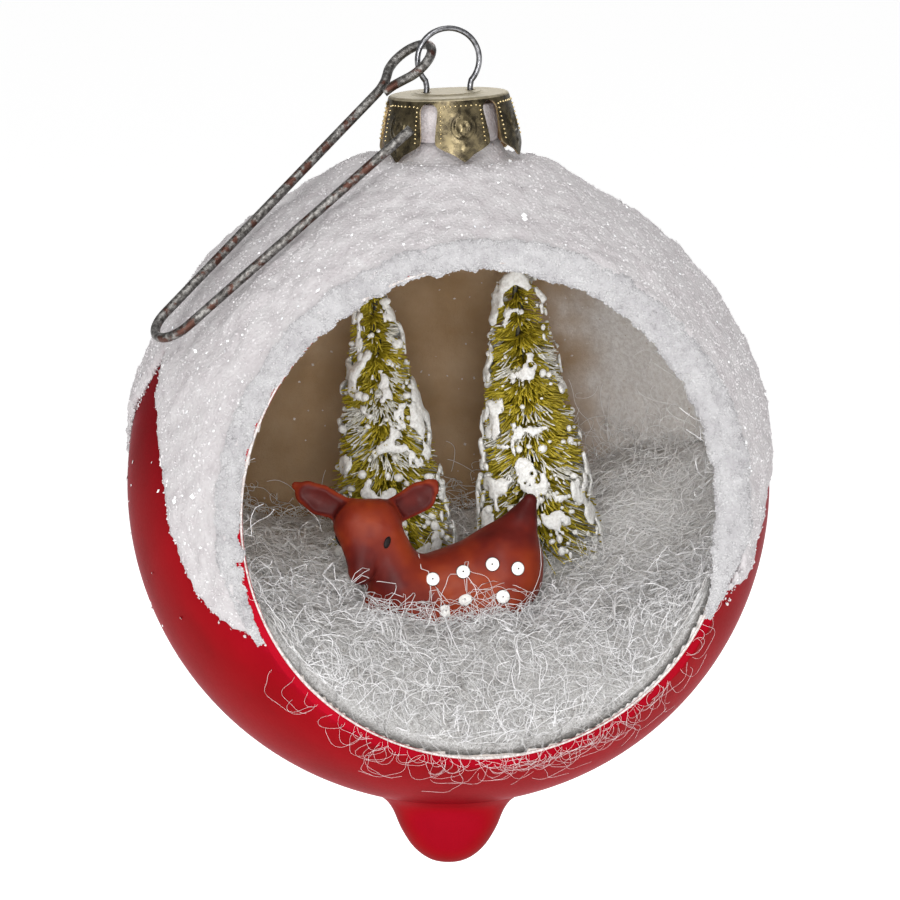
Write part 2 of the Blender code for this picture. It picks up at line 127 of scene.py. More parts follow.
def about_window(bearing, angle, reach):
    """Points by bearing round the window's axis and angle away from it. Bearing 0 is +X."""
    flat = reach * np.sin(angle)
    return xyz(flat * np.cos(bearing), -reach * np.cos(angle), flat * np.sin(bearing))


def ball_grid(top, bottom, rows, columns):
    """Two grids: polar angles from top to bottom, in degrees, and azimuths all round."""
    polar = np.radians(np.linspace(top, bottom, rows))
    azimuth = np.linspace(-math.pi, math.pi, columns, endpoint=False)
    return np.meshgrid(polar, azimuth, indexing="ij")


def lattice(low, high, step):
    """Sample points that fill a box from low to about high."""
    counts = ((np.array(high) - low) / step).astype(int) + 1
    return np.stack(np.meshgrid(*map(np.arange, counts), indexing="ij"), axis=-1) * step + low


def add_piece(name, points, faces, materials, body, replaced=(), kinds=None, flat=False):
    """A piece of the visual model, from points in millimetres about the ball's centre."""
    mesh = bpy.data.meshes.new(name)
    mesh.from_pydata((np.asarray(points) * MM + np.array(CENTRE)).tolist(), [], faces)
    for material in materials:
        mesh.materials.append(material)
    if kinds is not None:
        mesh.polygons.foreach_set("material_index", np.asarray(kinds, dtype=np.int32))
    if not flat:
        mesh.shade_smooth()
    obj = bpy.data.objects.new(name, mesh)
    bpy.context.scene.collection.objects.link(obj)
    settle(obj, body, replaced)
    return obj


def settle(obj, body, replaced=()):
    """Puts a piece on a body and the nodes that it stands for."""
    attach(obj, body)
    if replaced:
        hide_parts(*replaced)


def grid_faces(rows, columns, wrap=False):
    """Quads of a grid of points stored row by row, whose columns may close into a ring."""
    last = columns if wrap else columns - 1
    j, i = np.meshgrid(np.arange(rows - 1), np.arange(last), indexing="ij")
    after = (i + 1) % columns
    quads = [j * columns + i, j * columns + after, (j + 1) * columns + after, (j + 1) * columns + i]
    return np.stack(quads, axis=-1).reshape(-1, 4)


def whole_cells(clear, wrap=False):
    """Marks the cells of a grid whose four corners are all clear."""
    ahead = np.roll(clear, -1, axis=1)
    cells = clear[:-1] & clear[1:] & ahead[:-1] & ahead[1:]
    return cells if wrap else cells[:, :-1]


def copied_faces(faces, size, count):
    """The faces of count copies of one shape, which has size points."""
    starts = size * np.arange(count)[:, None, None]
    return (np.asarray(faces)[None] + starts).reshape(-1, np.shape(faces)[1])


def slab(top, bottom, keep, wrap=False):
    """A closed body between two grids of points, where keep marks the cells that it fills."""
    rows, columns = top.shape[:2]
    count = rows * columns
    quads = grid_faces(rows, columns, wrap)[keep.reshape(-1)]
    edges = {}
    for quad in quads.tolist():
        for a, b in zip(quad, quad[1:] + quad[:1]):
            if (b, a) in edges:
                del edges[(b, a)]
            else:
                edges[(a, b)] = True
    sides = [[b, a, count + a, count + b] for a, b in edges]
    faces = quads.tolist() + (quads[:, ::-1] + count).tolist() + sides
    return tidy(np.concatenate([top.reshape(-1, 3), bottom.reshape(-1, 3)]), faces)


def tidy(points, faces):
    """Drops the points that no face uses."""
    used = np.unique(np.concatenate([np.ravel(f) for f in faces]))
    place = np.zeros(len(points), int)
    place[used] = np.arange(len(used))
    return points[used], [[int(place[k]) for k in face] for face in faces]


def gather(parts):
    """Several (points, faces) as one."""
    points, faces, start = [], [], 0
    for some, sides in parts:
        points.append(some)
        faces += [[k + start for k in face] for face in sides]
        start += len(some)
    return np.concatenate(points), faces


def tubes(paths, radii, sides=3):
    """Thin closed tubes along paths of shape (count, steps, 3), with radii (count, steps)."""
    count, steps = paths.shape[:2]
    along = unit(np.gradient(paths, axis=1))
    spare = np.zeros_like(along)
    spare[..., 2] = 1.0
    steep = np.abs(along[:, :1, 2:3]) > 0.8
    spare = np.where(steep, np.array([1.0, 0.0, 0.0]), spare)
    first = unit(np.cross(along, spare))
    second = np.cross(along, first)
    turns = full_turn(sides)
    rings = paths[:, :, None, :] + radii[:, :, None, None] * (
        first[:, :, None, :] * np.cos(turns)[:, None] + second[:, :, None, :] * np.sin(turns)[:, None]
    )
    quads = copied_faces(grid_faces(steps, sides, wrap=True), steps * sides, count)
    caps = np.stack([np.arange(sides)[::-1], np.arange(sides) + (steps - 1) * sides])
    ends = copied_faces(caps, steps * sides, count)
    return rings.reshape(-1, 3), quads.tolist() + ends.tolist()


def grains(centres, normals, sizes, rng, tilt=0.5, thin=0.35):
    """Small closed eight-sided flakes that lie roughly along a surface."""
    count = len(centres)
    up = unit(normals + tilt * rng.normal(size=(count, 3)))
    side = unit(np.cross(up, rng.normal(size=(count, 3))))
    across = np.cross(up, side)
    spread = sizes[:, None] * rng.uniform(0.6, 1.0, (count, 4))
    corners = [
        centres + side * spread[:, :1],
        centres + across * spread[:, 1:2],
        centres - side * spread[:, 2:3],
        centres - across * spread[:, 3:],
        centres + up * sizes[:, None] * thin,
        centres - up * sizes[:, None] * thin,
    ]
    points = np.stack(corners, axis=1).reshape(-1, 3)
    one = [(0, 1, 4), (1, 2, 4), (2, 3, 4), (3, 0, 4), (1, 0, 5), (2, 1, 5), (3, 2, 5), (0, 3, 5)]
    return points, copied_faces(one, len(corners), count).tolist()


def ball_shape(subdivisions, radius):
    """The points and faces of a small faceted ball."""
    ball = bmesh.new()
    bmesh.ops.create_icosphere(ball, subdivisions=subdivisions, radius=radius)
    shape = np.array([v.co[:] for v in ball.verts])
    sides = np.array([[v.index for v in f.verts] for f in ball.faces])
    ball.free()
    return shape, sides


def round_wire(path, radius, sides=16):
    """A round wire with flat ends along one path, keeping its twist low."""
    path = np.asarray(path, float)
    along = unit(np.gradient(path, axis=0))
    first = unit(np.cross(along[0], [0.3, 0.5, 0.81]))
    turns = full_turn(sides)
    points = []
    for place, way in zip(path, along):
        first = unit(first - way * np.dot(first, way))
        second = np.cross(way, first)
        ring = first[None] * np.cos(turns)[:, None] + second[None] * np.sin(turns)[:, None]
        points.append(place + radius * ring)
    faces = grid_faces(len(path), sides, wrap=True)[:, ::-1].tolist()
    last = (len(path) - 1) * sides
    faces += [list(range(sides)), list(range(last + sides - 1, last - 1, -1))]
    return np.concatenate(points), faces


def smooth_path(knots, steps):
    """A Catmull-Rom curve through the knots."""
    knots = [np.array(k, float) for k in knots]
    ends = [2 * knots[0] - knots[1], *knots, 2 * knots[-1] - knots[-2]]
    path = []
    for a, b, c, d in zip(ends, ends[1:], ends[2:], ends[3:]):
        for t in np.linspace(0, 1, steps, endpoint=False):
            cubic = (3 * b - a - 3 * c + d) * t**3
            path.append(0.5 * (2 * b + (c - a) * t + (2 * a - 5 * b + 4 * c - d) * t**2 + cubic))
    return np.array([*path, knots[-1]])


def skin(field, low, step):
    """The surface where a sampled field is zero, as quads facing its positive side."""
    size = np.array(field.shape) - 1
    inside = field < 0
    corners = list(itertools.product((0, 1), repeat=3))

    def shifted(values, corner):
        """The values at one corner of every cell."""
        return values[tuple(slice(c, c + n) for c, n in zip(corner, size))]

    hits = sum(shifted(inside, c).astype(int) for c in corners)
    mixed = (hits > 0) & (hits < 8)
    values = {c: shifted(field, c)[mixed] for c in corners}
    total = np.zeros((mixed.sum(), 3))
    count = np.zeros(mixed.sum())
    for axis in range(3):
        for corner in corners:
            if corner[axis]:
                continue
            other = tuple(1 if k == axis else c for k, c in enumerate(corner))
            a, b = values[corner], values[other]
            cross = (a < 0) != (b < 0)
            share = np.where(cross, a / np.where(cross, a - b, 1.0), 0.0)
            place = np.tile(np.array(corner, float), (len(a), 1))
            place[:, axis] += share
            total += np.where(cross[:, None], place, 0.0)
            count += cross
    points = np.asarray(low) + (np.argwhere(mixed) + total / count[:, None]) * step
    index = np.full(size, -1)
    index[mixed] = np.arange(mixed.sum())
    faces = []
    for axis in range(3):
        u, v = (axis + 1) % 3, (axis + 2) % 3
        start = [slice(1, n) for n in size]
        start[axis] = slice(0, size[axis])
        end = list(start)
        end[axis] = slice(1, size[axis] + 1)
        a, b = inside[tuple(start)], inside[tuple(end)]
        for forward in (True, False):
            change = (a & ~b) if forward else (~a & b)
            where = np.argwhere(change)
            where[:, u] += 1
            where[:, v] += 1
            back_u, back_v = np.eye(3, dtype=int)[u], np.eye(3, dtype=int)[v]
            ring = [where, where - back_u, where - back_u - back_v, where - back_v]
            quad = np.stack([index[tuple(r.T)] for r in ring], axis=-1)
            faces.append(quad if forward else quad[:, ::-1])
    return points, np.concatenate(faces).tolist()


# ---------------------------------------------------------------- materials


def make_material(name, colour, roughness, metallic=0.0, **sockets):
    """A Principled material. Sockets are named with _ for the spaces in their names."""
    material = bpy.data.materials.new(name)
    material.use_nodes = True
    shader = material.node_tree.nodes["Principled BSDF"]
    shader.inputs["Base Color"].default_value = (*colour, 1.0)
    shader.inputs["Roughness"].default_value = roughness
    shader.inputs["Metallic"].default_value = metallic
    for key, value in sockets.items():
        shader.inputs[key.replace("_", " ")].default_value = value
    return material


def texture(material, kind, size, **settings):
    """A noise or cell texture in the frame's own coordinates, with features of size mm."""
    tree = material.node_tree
    node = tree.nodes.new(kind)
    node.inputs["Scale"].default_value = 1.0 / (size * MM)
    for key, value in settings.items():
        node.inputs[key].default_value = value
    place = tree.nodes.new("ShaderNodeTexCoord")
    tree.links.new(place.outputs["Object"], node.inputs["Vector"])
    return node


def ramp(material, source, stops):
    """A colour ramp over a texture's value."""
    tree = material.node_tree
    node = tree.nodes.new("ShaderNodeValToRGB")
    elements = node.color_ramp.elements
    while len(elements) < len(stops):
        elements.new(0.5)
    for element, (place, colour) in zip(elements, stops):
        element.position = place
        element.color = (*colour, 1.0) if len(colour) == 3 else colour
    tree.links.new(source, node.inputs["Fac"])
    return node.outputs["Color"]


def mix_colours(material, share, first, second):
    """Blends from the first colour to the second as share goes from 0 to 1."""
    tree = material.node_tree
    node = tree.nodes.new("ShaderNodeMix")
    node.data_type = "RGBA"
    tree.links.new(share, node.inputs["Factor"])
    for socket, value in (("A", first), ("B", second)):
        target = next(s for s in node.inputs if s.name == socket and s.type == "RGBA")
        if isinstance(value, tuple):
            target.default_value = (*value, 1.0)
        else:
            tree.links.new(value, target)
    return next(s for s in node.outputs if s.type == "RGBA")


def feed(material, source, socket):
    """Drives one of the shader's sockets."""
    shader = material.node_tree.nodes["Principled BSDF"]
    material.node_tree.links.new(source, shader.inputs[socket])


def spread(material, source, low, high):
    """Scales a 0 to 1 value to a range."""
    node = material.node_tree.nodes.new("ShaderNodeMapRange")
    node.inputs["To Min"].default_value = low
    node.inputs["To Max"].default_value = high
    material.node_tree.links.new(source, node.inputs["Value"])
    return node.outputs["Result"]


def bump(material, source, depth, strength=1.0):
    """Bumps of a depth in millimetres, added to any that are there."""
    tree = material.node_tree
    shader = tree.nodes["Principled BSDF"]
    node = tree.nodes.new("ShaderNodeBump")
    node.inputs["Distance"].default_value = depth * MM
    node.inputs["Strength"].default_value = strength
    tree.links.new(source, node.inputs["Height"])
    if shader.inputs["Normal"].links:
        tree.links.new(shader.inputs["Normal"].links[0].from_socket, node.inputs["Normal"])
    tree.links.new(node.outputs["Normal"], shader.inputs["Normal"])


def mottled(name, roughness, stops, size, relief=0.0, detail=2.0, metallic=0.0, **sockets):
    """A material whose colour follows one noise, with bumps of a relief in millimetres."""
    made = make_material(name, stops[-1][1], roughness, metallic, **sockets)
    grain = texture(made, "ShaderNodeTexNoise", size, Detail=detail).outputs["Fac"]
    feed(made, ramp(made, grain, stops), "Base Color")
    if relief:
        bump(made, grain, relief)
    return made


def red_lacquer():
    """Satin red lacquer over silvered glass, a little uneven in tone."""
    made = make_material(
        "red_lacquer", (0.42, 0.004, 0.014), 0.36, 0.7,
        Specular_IOR_Level=0.06, Specular_Tint=(0.40, 0.04, 0.09, 1.0),
    )
    cloud = texture(made, "ShaderNodeTexNoise", 14.0, Detail=3.0)
    tone = ramp(made, cloud.outputs["Fac"], [(0.3, (0.24, 0.003, 0.009)), (0.7, (0.31, 0.004, 0.013))])
    feed(made, tone, "Base Color")
    fine = texture(made, "ShaderNodeTexNoise", 0.5, Detail=4.0)
    feed(made, spread(made, fine.outputs["Fac"], 0.30, 0.44), "Roughness")
    bump(made, fine.outputs["Fac"], 0.012, 0.5)
    return made


def raw_glass():
    """The pale cut edge of the glass."""
    tones = [(0.35, (0.36, 0.31, 0.29)), (0.65, (0.66, 0.62, 0.60))]
    return mottled("cut_glass_edge", 0.28, tones, 0.4, 0.05, 5.0)


def silvered_inside():
    """The grey back of the silvered glass, behind the frost."""
    tones = [(0.3, (0.24, 0.21, 0.18)), (0.7, (0.36, 0.33, 0.29))]
    return mottled("silvered_inside", 0.5, tones, 1.5, metallic=0.4)


def glitter_snow(name, dark, light, depth):
    """Packed snow of fine grains."""
    made = make_material(name, light, 0.75, Specular_IOR_Level=0.4)
    cells = texture(made, "ShaderNodeTexVoronoi", 0.55, Randomness=1.0)
    cloud = texture(made, "ShaderNodeTexNoise", 3.0, Detail=8.0, Roughness=0.7)
    tone = ramp(made, cloud.outputs["Fac"], [(0.35, dark), (0.62, light)])
    feed(made, tone, "Base Color")
    bump(made, cells.outputs["Distance"], depth)
    fine = texture(made, "ShaderNodeTexNoise", 0.25, Detail=3.0)
    bump(made, fine.outputs["Fac"], depth * 0.6)
    return made


def bright_flake():
    """Clear and white glitter flakes."""
    tones = [(0.3, (0.97, 0.93, 0.95)), (0.5, (0.98, 0.98, 0.98)), (0.7, (0.92, 0.95, 1.0))]
    return mottled("bright_flake", 0.18, tones, 0.8, Coat_Weight=0.6)


def inner_frost():
    """Taupe frosting with white frost, spread towards the rim and to the right side as painted light.
    """
    made = make_material("taupe_frost", (0.28, 0.20, 0.13), 0.8)
    cloud = texture(made, "ShaderNodeTexNoise", 9.0, Detail=5.0)
    brown = ramp(made, cloud.outputs["Fac"], [(0.3, (0.36, 0.225, 0.11)), (0.7, (0.50, 0.35, 0.215))])
    speck = texture(made, "ShaderNodeTexNoise", 0.7, Detail=6.0, Roughness=0.75)
    white = ramp(made, speck.outputs["Fac"], [(0.4, (0.74, 0.70, 0.67)), (0.6, (0.94, 0.92, 0.90))])
    share = made.node_tree.nodes.new("ShaderNodeAttribute")
    share.attribute_name = "frost_and_painted_light"
    feed(made, mix_colours(made, share.outputs["Fac"], brown, white), "Base Color")
    bump(made, speck.outputs["Fac"], 0.25)
    return made


def bristle_paint(name, tones):
    """Dyed sisal, a little uneven in colour."""
    return mottled(name, 0.55, tones, 1.2, detail=3.0)


def tree_snow():
    """The thick white paste on the trees."""
    tones = [(0.35, (0.66, 0.65, 0.62)), (0.6, (0.84, 0.84, 0.82))]
    return mottled("tree_snow", 0.6, tones, 0.45, 0.15, 5.0)


def stem_steel():
    """The dark twisted wire of the trees."""
    tones = [(0.4, (0.03, 0.03, 0.025)), (0.65, (0.10, 0.085, 0.05))]
    return mottled("stem_steel", 0.5, tones, 0.8, metallic=0.6)


def fawn_paint():
    """Painted resin: orange-brown, darkened where the attribute is high by red-brown paint, and by
    painted shade in the ear hollows and under the neck.
    """
    made = make_material("fawn_paint", (0.40, 0.07, 0.02), 0.40, Specular_IOR_Level=0.12)
    wash_and_shade = made.node_tree.nodes.new("ShaderNodeAttribute")
    wash_and_shade.attribute_name = "wash_and_shade"
    stops = [
        (0.0, (0.235, 0.034, 0.009)), (0.35, (0.165, 0.019, 0.008)), (0.65, (0.105, 0.011, 0.008)),
        (1.0, (0.060, 0.007, 0.006)),
    ]
    feed(made, ramp(made, wash_and_shade.outputs["Fac"], stops), "Base Color")
    brush = texture(made, "ShaderNodeTexNoise", 1.0, Detail=5.0)
    feed(made, spread(made, brush.outputs["Fac"], 0.30, 0.50), "Roughness")
    bump(made, brush.outputs["Fac"], 0.08, 0.6)
    return made


def spot_paint(name, colour, roughness):
    """Thick dabbed paint."""
    tones = [(0.35, tuple(c * 0.82 for c in colour)), (0.6, colour)]
    return mottled(name, roughness, tones, 0.35, 0.06, 4.0, Specular_IOR_Level=0.12)


# Where the painted light that makes the fibre paler towards the back begins, and where it is full,
# along the frame's y.
PAINTED_LIGHT_FROM, PAINTED_LIGHT_TO = -22.0, 8.0


def painted_light_at_back(material):
    """A value that grows from 0 near the window to 1 at the trees: where the fibre gets its painted
    light.
    """
    tree = material.node_tree
    place = tree.nodes.new("ShaderNodeTexCoord")
    parts = tree.nodes.new("ShaderNodeSeparateXYZ")
    share = tree.nodes.new("ShaderNodeMapRange")
    share.inputs["From Min"].default_value = PAINTED_LIGHT_FROM * MM
    share.inputs["From Max"].default_value = PAINTED_LIGHT_TO * MM
    tree.links.new(place.outputs["Object"], parts.inputs["Vector"])
    tree.links.new(parts.outputs["Y"], share.inputs["Value"])
    return share.outputs["Result"]


def angel_hair(name, dark, light):
    """Loose fibre, made paler behind the fawn by painted light."""
    made = make_material(name, light, 0.5, Sheen_Weight=0.3)
    tone = texture(made, "ShaderNodeTexNoise", 2.0, Detail=4.0)
    front = ramp(made, tone.outputs["Fac"], [(0.35, dark), (0.6, light)])
    # Painted light: towards the back the hair is blended to near white.
    feed(made, mix_colours(made, painted_light_at_back(made), front, (0.96, 0.95, 0.94)), "Base Color")
    return made


def fibre_core():
    """The depth of the fibre bed, between its loose strands, with painted shade in its dark gaps near
    the window and painted light that makes it paler at the back.
    """
    made = make_material("fibre_core", (0.62, 0.61, 0.60), 0.9)
    tangle = texture(made, "ShaderNodeTexNoise", 0.7, Detail=8.0, Roughness=0.8, Distortion=2.5)
    # Painted shade: the darkest stops stand for the shade in the gaps between the strands.
    stops = [(0.38, (0.24, 0.225, 0.21)), (0.5, (0.54, 0.53, 0.52)), (0.64, (0.80, 0.79, 0.79))]
    front = ramp(made, tangle.outputs["Fac"], stops)
    back = ramp(made, tangle.outputs["Fac"], [(0.38, (0.62, 0.60, 0.58)), (0.6, (0.92, 0.91, 0.90))])
    feed(made, mix_colours(made, painted_light_at_back(made), front, back), "Base Color")
    bump(made, tangle.outputs["Fac"], 0.5)
    return made


def stamped_gold(name, dark, light, roughness):
    """Thin gilded sheet, tarnished unevenly."""
    made = make_material(name, light, roughness, 1.0)
    age = texture(made, "ShaderNodeTexNoise", 1.6, Detail=6.0, Roughness=0.65)
    feed(made, ramp(made, age.outputs["Fac"], [(0.38, dark), (0.62, light)]), "Base Color")
    feed(made, spread(made, age.outputs["Fac"], roughness * 0.7, roughness * 1.6), "Roughness")
    bump(made, age.outputs["Fac"], 0.05)
    return made


def dark_wire():
    """The hanger's smooth drawn steel."""
    tones = [(0.35, (0.09, 0.09, 0.095)), (0.65, (0.24, 0.24, 0.25))]
    return mottled("dark_ring_wire", 0.28, tones, 0.6, 0.01, 4.0, 1.0)


def weathered_wire():
    """Grey steel wire, mottled and marked with rust."""
    made = make_material("weathered_wire", (0.22, 0.21, 0.20), 0.4, 0.9)
    mottle = texture(made, "ShaderNodeTexNoise", 0.7, Detail=6.0, Roughness=0.7)
    steel = ramp(
        made, mottle.outputs["Fac"],
        [(0.36, (0.04, 0.036, 0.032)), (0.5, (0.14, 0.133, 0.126)), (0.64, (0.33, 0.32, 0.305))],
    )
    rust = texture(made, "ShaderNodeTexNoise", 2.6, Detail=5.0, Roughness=0.6)
    marks = ramp(made, rust.outputs["Fac"], [(0.54, (0.0, 0.0, 0.0)), (0.60, (1.0, 1.0, 1.0))])
    feed(made, mix_colours(made, marks, steel, (0.085, 0.040, 0.030)), "Base Color")
    feed(made, spread(made, mottle.outputs["Fac"], 0.25, 0.6), "Roughness")
    bump(made, mottle.outputs["Fac"], 0.10)
    return made


def plain_glue():
    """Dried yellowish glue."""
    return mottled("dried_glue", 0.3, [(0.3, (0.62, 0.58, 0.46)), (0.7, (0.80, 0.78, 0.70))], 1.5)


def foam_cells():
    """White bead foam."""
    made = make_material("foam_cells", (0.78, 0.78, 0.76), 0.9)
    cells = texture(made, "ShaderNodeTexVoronoi", 1.4)
    tone = ramp(made, cells.outputs["Distance"], [(0.0, (0.84, 0.84, 0.82)), (0.8, (0.60, 0.60, 0.58))])
    feed(made, tone, "Base Color")
    bump(made, cells.outputs["Distance"], 0.4)
    return made


# ---------------------------------------------------------------- the glass ball


def ball_outline():
    """The blown wall as a closed (radius, height) outline, from the neck down and back up."""
    inner = BALL_RADIUS - GLASS_WALL
    outer_arc = np.radians(np.linspace(13.5, 166.5, 110))
    inner_arc = np.radians(np.linspace(168.0, 11.0, 80))
    neck = smooth_path([(7.6, 51.4), (8.0, 50.2), (9.2, 49.45), (11.7, 48.6)], 4)[:-1]
    tip = [(11.7, -48.6), (9.9, -49.9), (8.7, -51.6), (7.4, -54.6), (5.5, -57.5), (3.0, -59.4)]
    tip = smooth_path([*tip, (0.0, -TIP_DEPTH)], 6)[1:-1]
    hollow = [(4.5, -56.2), (6.6, -52.6), (8.6, -49.3), (10.2, -47.7)]
    hollow = smooth_path([(0.0, -TIP_DEPTH + TIP_WALL), *hollow], 4)[1:-1]
    return (
        [(6.5, 59.6), (6.8, 59.75), (7.3, 59.75), (7.6, 59.5), (7.6, 57.0), (7.6, 54.0)]
        + [tuple(p) for p in neck]
        + [(BALL_RADIUS * math.sin(a), BALL_RADIUS * math.cos(a)) for a in outer_arc]
        + [tuple(p) for p in tip]
        + [(0.0, -TIP_DEPTH), (0.0, -TIP_DEPTH + TIP_WALL)]
        + [tuple(p) for p in hollow]
        + [(inner * math.sin(a), inner * math.cos(a)) for a in inner_arc]
        + [(7.2, 48.6), (6.5, 50.0)]
    )


def turned(outline, segments):
    """A closed solid of revolution about Z. Points on the axis are shared by all segments."""
    points, rings = [], []
    for radius, height in outline:
        if radius < 1e-6:
            rings.append([len(points)] * segments)
            points.append((0.0, 0.0, height))
            continue
        rings.append(range(len(points), len(points) + segments))
        for k in range(segments):
            turn = 2 * math.pi * k / segments
            points.append((radius * math.cos(turn), radius * math.sin(turn), height))
    faces = []
    for ring, after in zip(rings, rings[1:] + rings[:1]):
        for k in range(segments):
            n = (k + 1) % segments
            corners = list(dict.fromkeys((ring[k], after[k], after[n], ring[n])))
            if len(corners) > 2:
                faces.append(corners)
    return points, faces


def cut_at_window(obj):
    """Cuts a turned shell at the window's plane and closes its rim with a flat ring."""
    mesh = obj.data
    work = bmesh.new()
    work.from_mesh(mesh)
    plane = Vector((0.0, CENTRE.y + WINDOW_Y * MM, CENTRE.z))
    everything = work.verts[:] + work.edges[:] + work.faces[:]
    bmesh.ops.bisect_plane(
        work, geom=everything, plane_co=plane, plane_no=(0.0, -1.0, 0.0), clear_outer=True
    )
    rims = [edge for edge in work.edges if edge.is_boundary]
    made = bmesh.ops.bridge_loops(work, edges=rims)
    for face in made["faces"]:
        face.material_index = 0
        face.smooth = False
    work.to_mesh(mesh)
    work.free()


def make_ball():
    """The blown ball: red outside, silvered inside, and frosted on its neck."""
    points, faces = turned(ball_outline(), 220)
    places = np.asarray(points)
    kinds = []
    for face in faces:
        middle = places[face].mean(axis=0)
        reach = np.linalg.norm(middle)
        hidden = reach < BALL_RADIUS - GLASS_WALL / 2 and -49.0 < middle[2] < 50.0
        kinds.append(1 if hidden else 2 if middle[2] > 50.4 else 0)
    neck_coat = glitter_snow("neck_frost", (0.50, 0.45, 0.46), (0.66, 0.62, 0.63), 0.12)
    materials = [red_lacquer(), silvered_inside(), neck_coat]
    ball = add_piece(
        "blown_ball", points, faces, materials, "ornament", ["glass_ball"], kinds
    )
    cut_at_window(ball)
    add_bare_edge()


def add_bare_edge():
    """The thin pale line of bare glass along the inner edge of the window's rim."""
    steps, sides = 240, 8
    inner_rim = math.sqrt((BALL_RADIUS - GLASS_WALL) ** 2 - WINDOW_Y**2)
    turn, around = np.meshgrid(full_turn(steps), full_turn(sides), indexing="ij")
    radius = inner_rim + 0.22 + (0.20 + 0.05 * np.sin(7 * turn)) * np.cos(around)
    y = WINDOW_Y - 0.20 * np.sin(around)
    points = xyz(radius * np.cos(turn), y, radius * np.sin(turn)).reshape(-1, 3)
    faces = grid_faces(steps + 1, sides, wrap=True) % len(points)
    add_piece("bare_rim_edge", points, faces.tolist(), [raw_glass()], "ornament")


def make_frost():
    """The frosted coat that lines the ball, as a rough thin shell."""
    polar, azimuth = ball_grid(11.0, 168.0, 130, 300)
    outer = on_ball(azimuth, polar, BALL_RADIUS - GLASS_WALL - 0.1)
    rough = 0.35 * noise(outer, 1.4, 11) + 0.18 * noise(outer, 3.5, 12)
    inner = on_ball(azimuth, polar, BALL_RADIUS - GLASS_WALL - 0.35 - rough)
    keep = whole_cells(outer[..., 1] > WINDOW_Y + 0.25, wrap=True)
    points, faces = slab(inner, outer, keep, wrap=True)
    coat = add_piece(
        "frost_lining", points, faces, [inner_frost()], "ornament", ["inner_frost"]
    )
    # Painted light: the frost's white is spread near the rim and on the side to the right of the view,
    # where light falls.
    painted_rim_light = 0.7 * smoothstep(-points[:, 1], 12.0, 31.0)
    across = points[:, 0] * math.cos(VIEW_TURN) + points[:, 1] * math.sin(VIEW_TURN)
    patches = noise(points, 5.0, 13) + 0.6 * noise(points, 1.6, 14) - 0.8
    painted_right_light = smoothstep(across + 7.0 * patches, 13.0, 29.0)
    white = np.clip(np.maximum(painted_rim_light + 0.4 * patches * painted_rim_light, painted_right_light), 0, 1)
    coat.data.attributes.new("frost_and_painted_light", "FLOAT", "POINT").data.foreach_set("value", white)


# ---------------------------------------------------------------- the hook's line


HOOK_WIRE = 0.75
HOOK_START = np.array([-10.345, 0.706, 61.89])
HOOK_ALONG = unit(np.array([-0.718, -0.2116, -0.662]))
HOOK_ACROSS = np.array([0.3275, -0.9424, -0.055])
EYE_CENTRE, EYE_RADIUS = (-5.7, 0.9), 4.15
BEND_CENTRE, BEND_RADIUS, BEND_SWEEP = (49.7, 4.3), 4.3, math.radians(169.5)
RETURN_LENGTH = 45.4


def hook_path():
    """The hook's line: closed eye, straight shank, bend and open return leg.
    It is drawn flat, along the shank from the eye's throat and across it, and then placed."""
    eye_x, eye_y = EYE_CENTRE
    eye = [
        (eye_x + EYE_RADIUS * math.cos(a), eye_y + EYE_RADIUS * math.sin(a))
        for a in np.radians(np.linspace(40, 320, 15))
    ]
    bend_x, bend_y = BEND_CENTRE
    start = [(0.7, 1.62), (-0.9, 2.25)]
    joining = [(-1.3, -0.8), (0.4, -0.1), (2.5, 0.0)]
    shank = [(u, 0.0) for u in np.linspace(6.0, bend_x - 2.0, 10)]
    bend = [
        (bend_x + BEND_RADIUS * math.sin(a), bend_y - BEND_RADIUS * math.cos(a))
        for a in np.linspace(0, BEND_SWEEP, 10)
    ]
    back = [
        (bend[-1][0] + math.cos(BEND_SWEEP) * d, bend[-1][1] + math.sin(BEND_SWEEP) * d)
        for d in np.linspace(3.0, RETURN_LENGTH, 10)
    ]
    flat = smooth_path(start + eye + joining + shank + bend + back, 5)
    across = unit(HOOK_ACROSS - HOOK_ALONG * np.dot(HOOK_ACROSS, HOOK_ALONG))
    return HOOK_START + flat[:, :1] * HOOK_ALONG + flat[:, 1:] * across


# ---------------------------------------------------------------- snow


def crust_edge_height(azimuth):
    """Height of the crust's lower edge, in mm. Azimuth 0 is the window, and 90 is +X."""
    knots = [
        (-180, -2), (-150, 4), (-125, -4), (-105, 6), (-92, 14), (-84, 22), (-76, 11),
        (-69.5, 1), (-63, -12.5), (-53, -18), (-35, -22), (35, -20), (44, -15), (56, -12.5),
        (64, -1), (72, 8), (82, 16), (92, 10), (110, 0), (130, 6), (150, -4), (180, -2),
    ]
    return np.interp(azimuth, [k[0] for k in knots], [k[1] for k in knots])


# The polar angles where the crust starts and ends, and its reach from the ball's centre by polar
# angle. Outside, a collar up the neck and then a heap that thins out; underneath, its foot.
CRUST_TOP, CRUST_BOTTOM = 8.25, 116.0
CRUST_HEAP = [
    (8.25, 54.5), (9.3, 53.2), (10.6, 52.25), (11.7, 51.95), (13.4, 52.2), (15.5, 52.9),
    (18.0, 52.8), (21.4, 52.1), (27.8, 51.25),
]
CRUST_FOOT = [
    (8.25, 54.2), (8.7, 52.3), (9.3, 51.2), (9.6, 50.95), (10.9, 50.75), (11.5, 50.5),
    (13.3, 50.3), (16.0, 50.02),
]


DENT_DEPTH, DENT_FLAT, DENT_REACH = 0.55, 1.6, 3.6


def hook_dent(places):
    """How far the snow is pressed in where the folded hook lies against it."""
    near = np.full(places.shape[:-1], np.inf)
    for point in hook_path()[::2]:
        near = np.minimum(near, np.linalg.norm(places - point, axis=-1))
    return DENT_DEPTH * (1 - smoothstep(near, DENT_FLAT, DENT_REACH))


